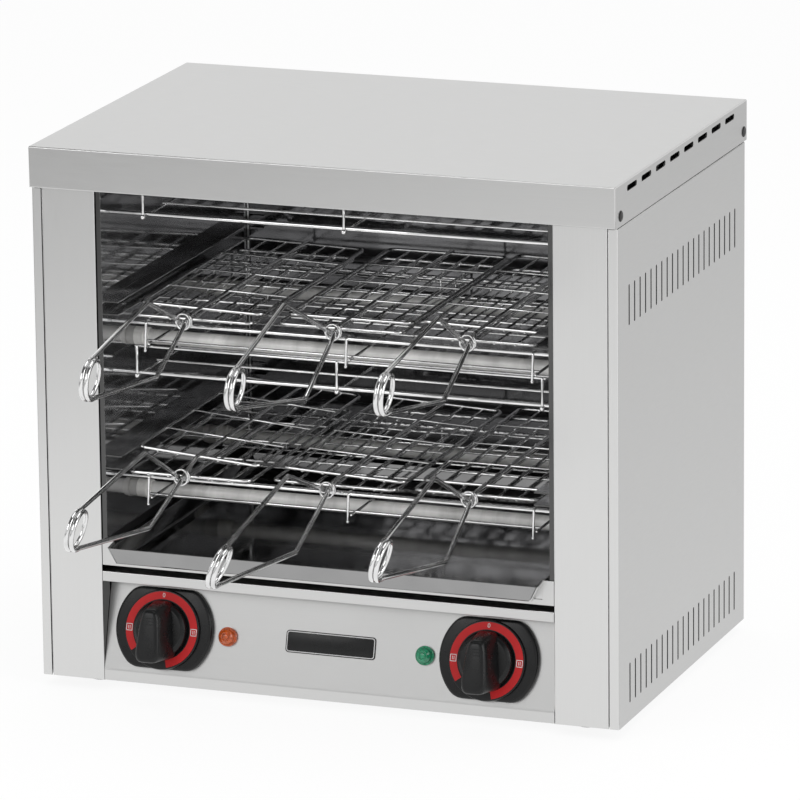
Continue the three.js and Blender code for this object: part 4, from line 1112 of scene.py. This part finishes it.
bm = bmesh.new()
bmesh.ops.create_grid(bm, x_segments=8, y_segments=8, size=6)
floor = piece("floor", bm, stage_material("pale_floor", FLOOR_SHADE), None)
floor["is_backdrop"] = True

# The world. Mirror rays see a bright wall behind the object, a dimmer room in front, and a dark
# ceiling. The rest of the light is even, and the camera sees white.
AMBIENT, WHITE = 0.62, 1.0
world = bpy.data.worlds.new("studio")
bpy.context.scene.world = world
net = Nodes(world)
rays = net.nodes.new("ShaderNodeLightPath").outputs
straight = net.math("MAXIMUM", rays["Is Camera Ray"], rays["Is Transmission Ray"])
_, y, z = net.axes("Generated")
wall = net.math("MULTIPLY", net.map_range(z, 0.35, 0.75, 1.0, 0.15),
                net.map_range(y, -0.5, 0.4, 0.72, 1.0))
strength = net.mix(straight, net.mix(rays["Is Glossy Ray"], AMBIENT, wall), WHITE)
net.feed(net.nodes["Background"].inputs, {"Color": (1, 1, 1, 1), "Strength": strength})


def area_light(name, place, target, size, watts):
    data = bpy.data.lights.new(name, "AREA")
    data.shape, data.size, data.size_y, data.energy = "RECTANGLE", *size, watts
    light = bpy.data.objects.new(name, data)
    light.location = place
    light.rotation_mode = "QUATERNION"
    light.rotation_quaternion = (Vector(target) - Vector(place)).to_track_quat("-Z", "Y")
    bpy.context.scene.collection.objects.link(light)


area_light("front_left_softbox", (-1.2, -2.6, 1.7), (0, 0, 0.2), (1.8, 1.4), 18)
area_light("right_softbox", (2.4, -0.8, 1.2), (0, 0, 0.2), (1.2, 1.6), 16)
area_light("top_softbox", (0.1, 0.3, 2.4), (0, 0, 0.3), (2.0, 1.6), 16)

# Camera fitted to the casing's corners in the photograph: angles, millimetres and pixels
AZIMUTH, ELEVATION, ROLL = math.radians(20.485), math.radians(14.749), math.radians(-0.673)
TARGET, DISTANCE = (-13.463, 146.289, 178.992), 5228.07
FOCAL, AXIS_X, AXIS_Y, FRAME_SIZE = 7023.38, 376.489, 415.038, 800
SENSOR = 36
back = Vector((math.sin(AZIMUTH) * math.cos(ELEVATION), -math.cos(AZIMUTH) * math.cos(ELEVATION),
               math.sin(ELEVATION)))
level = Vector((math.cos(AZIMUTH), math.sin(AZIMUTH), 0))
upward = level.cross(-back)
right = level * math.cos(ROLL) + upward * math.sin(ROLL)
up = upward * math.cos(ROLL) - level * math.sin(ROLL)
camera_data = bpy.data.cameras.new("camera")
camera_data.sensor_width = SENSOR
camera_data.lens = FOCAL / FRAME_SIZE * SENSOR
camera_data.shift_x = (FRAME_SIZE / 2 - AXIS_X) / FRAME_SIZE
camera_data.shift_y = (AXIS_Y - FRAME_SIZE / 2) / FRAME_SIZE
camera_data.clip_start, camera_data.clip_end = 0.1, 60
camera = bpy.data.objects.new("camera", camera_data)
place = Matrix((right, up, back)).transposed().to_4x4()
place.translation = P(*TARGET) + back * DISTANCE * MM
camera.matrix_world = place
bpy.context.scene.collection.objects.link(camera)
bpy.context.scene.camera = camera
bpy.context.scene.view_settings.view_transform = "Standard"

low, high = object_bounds()
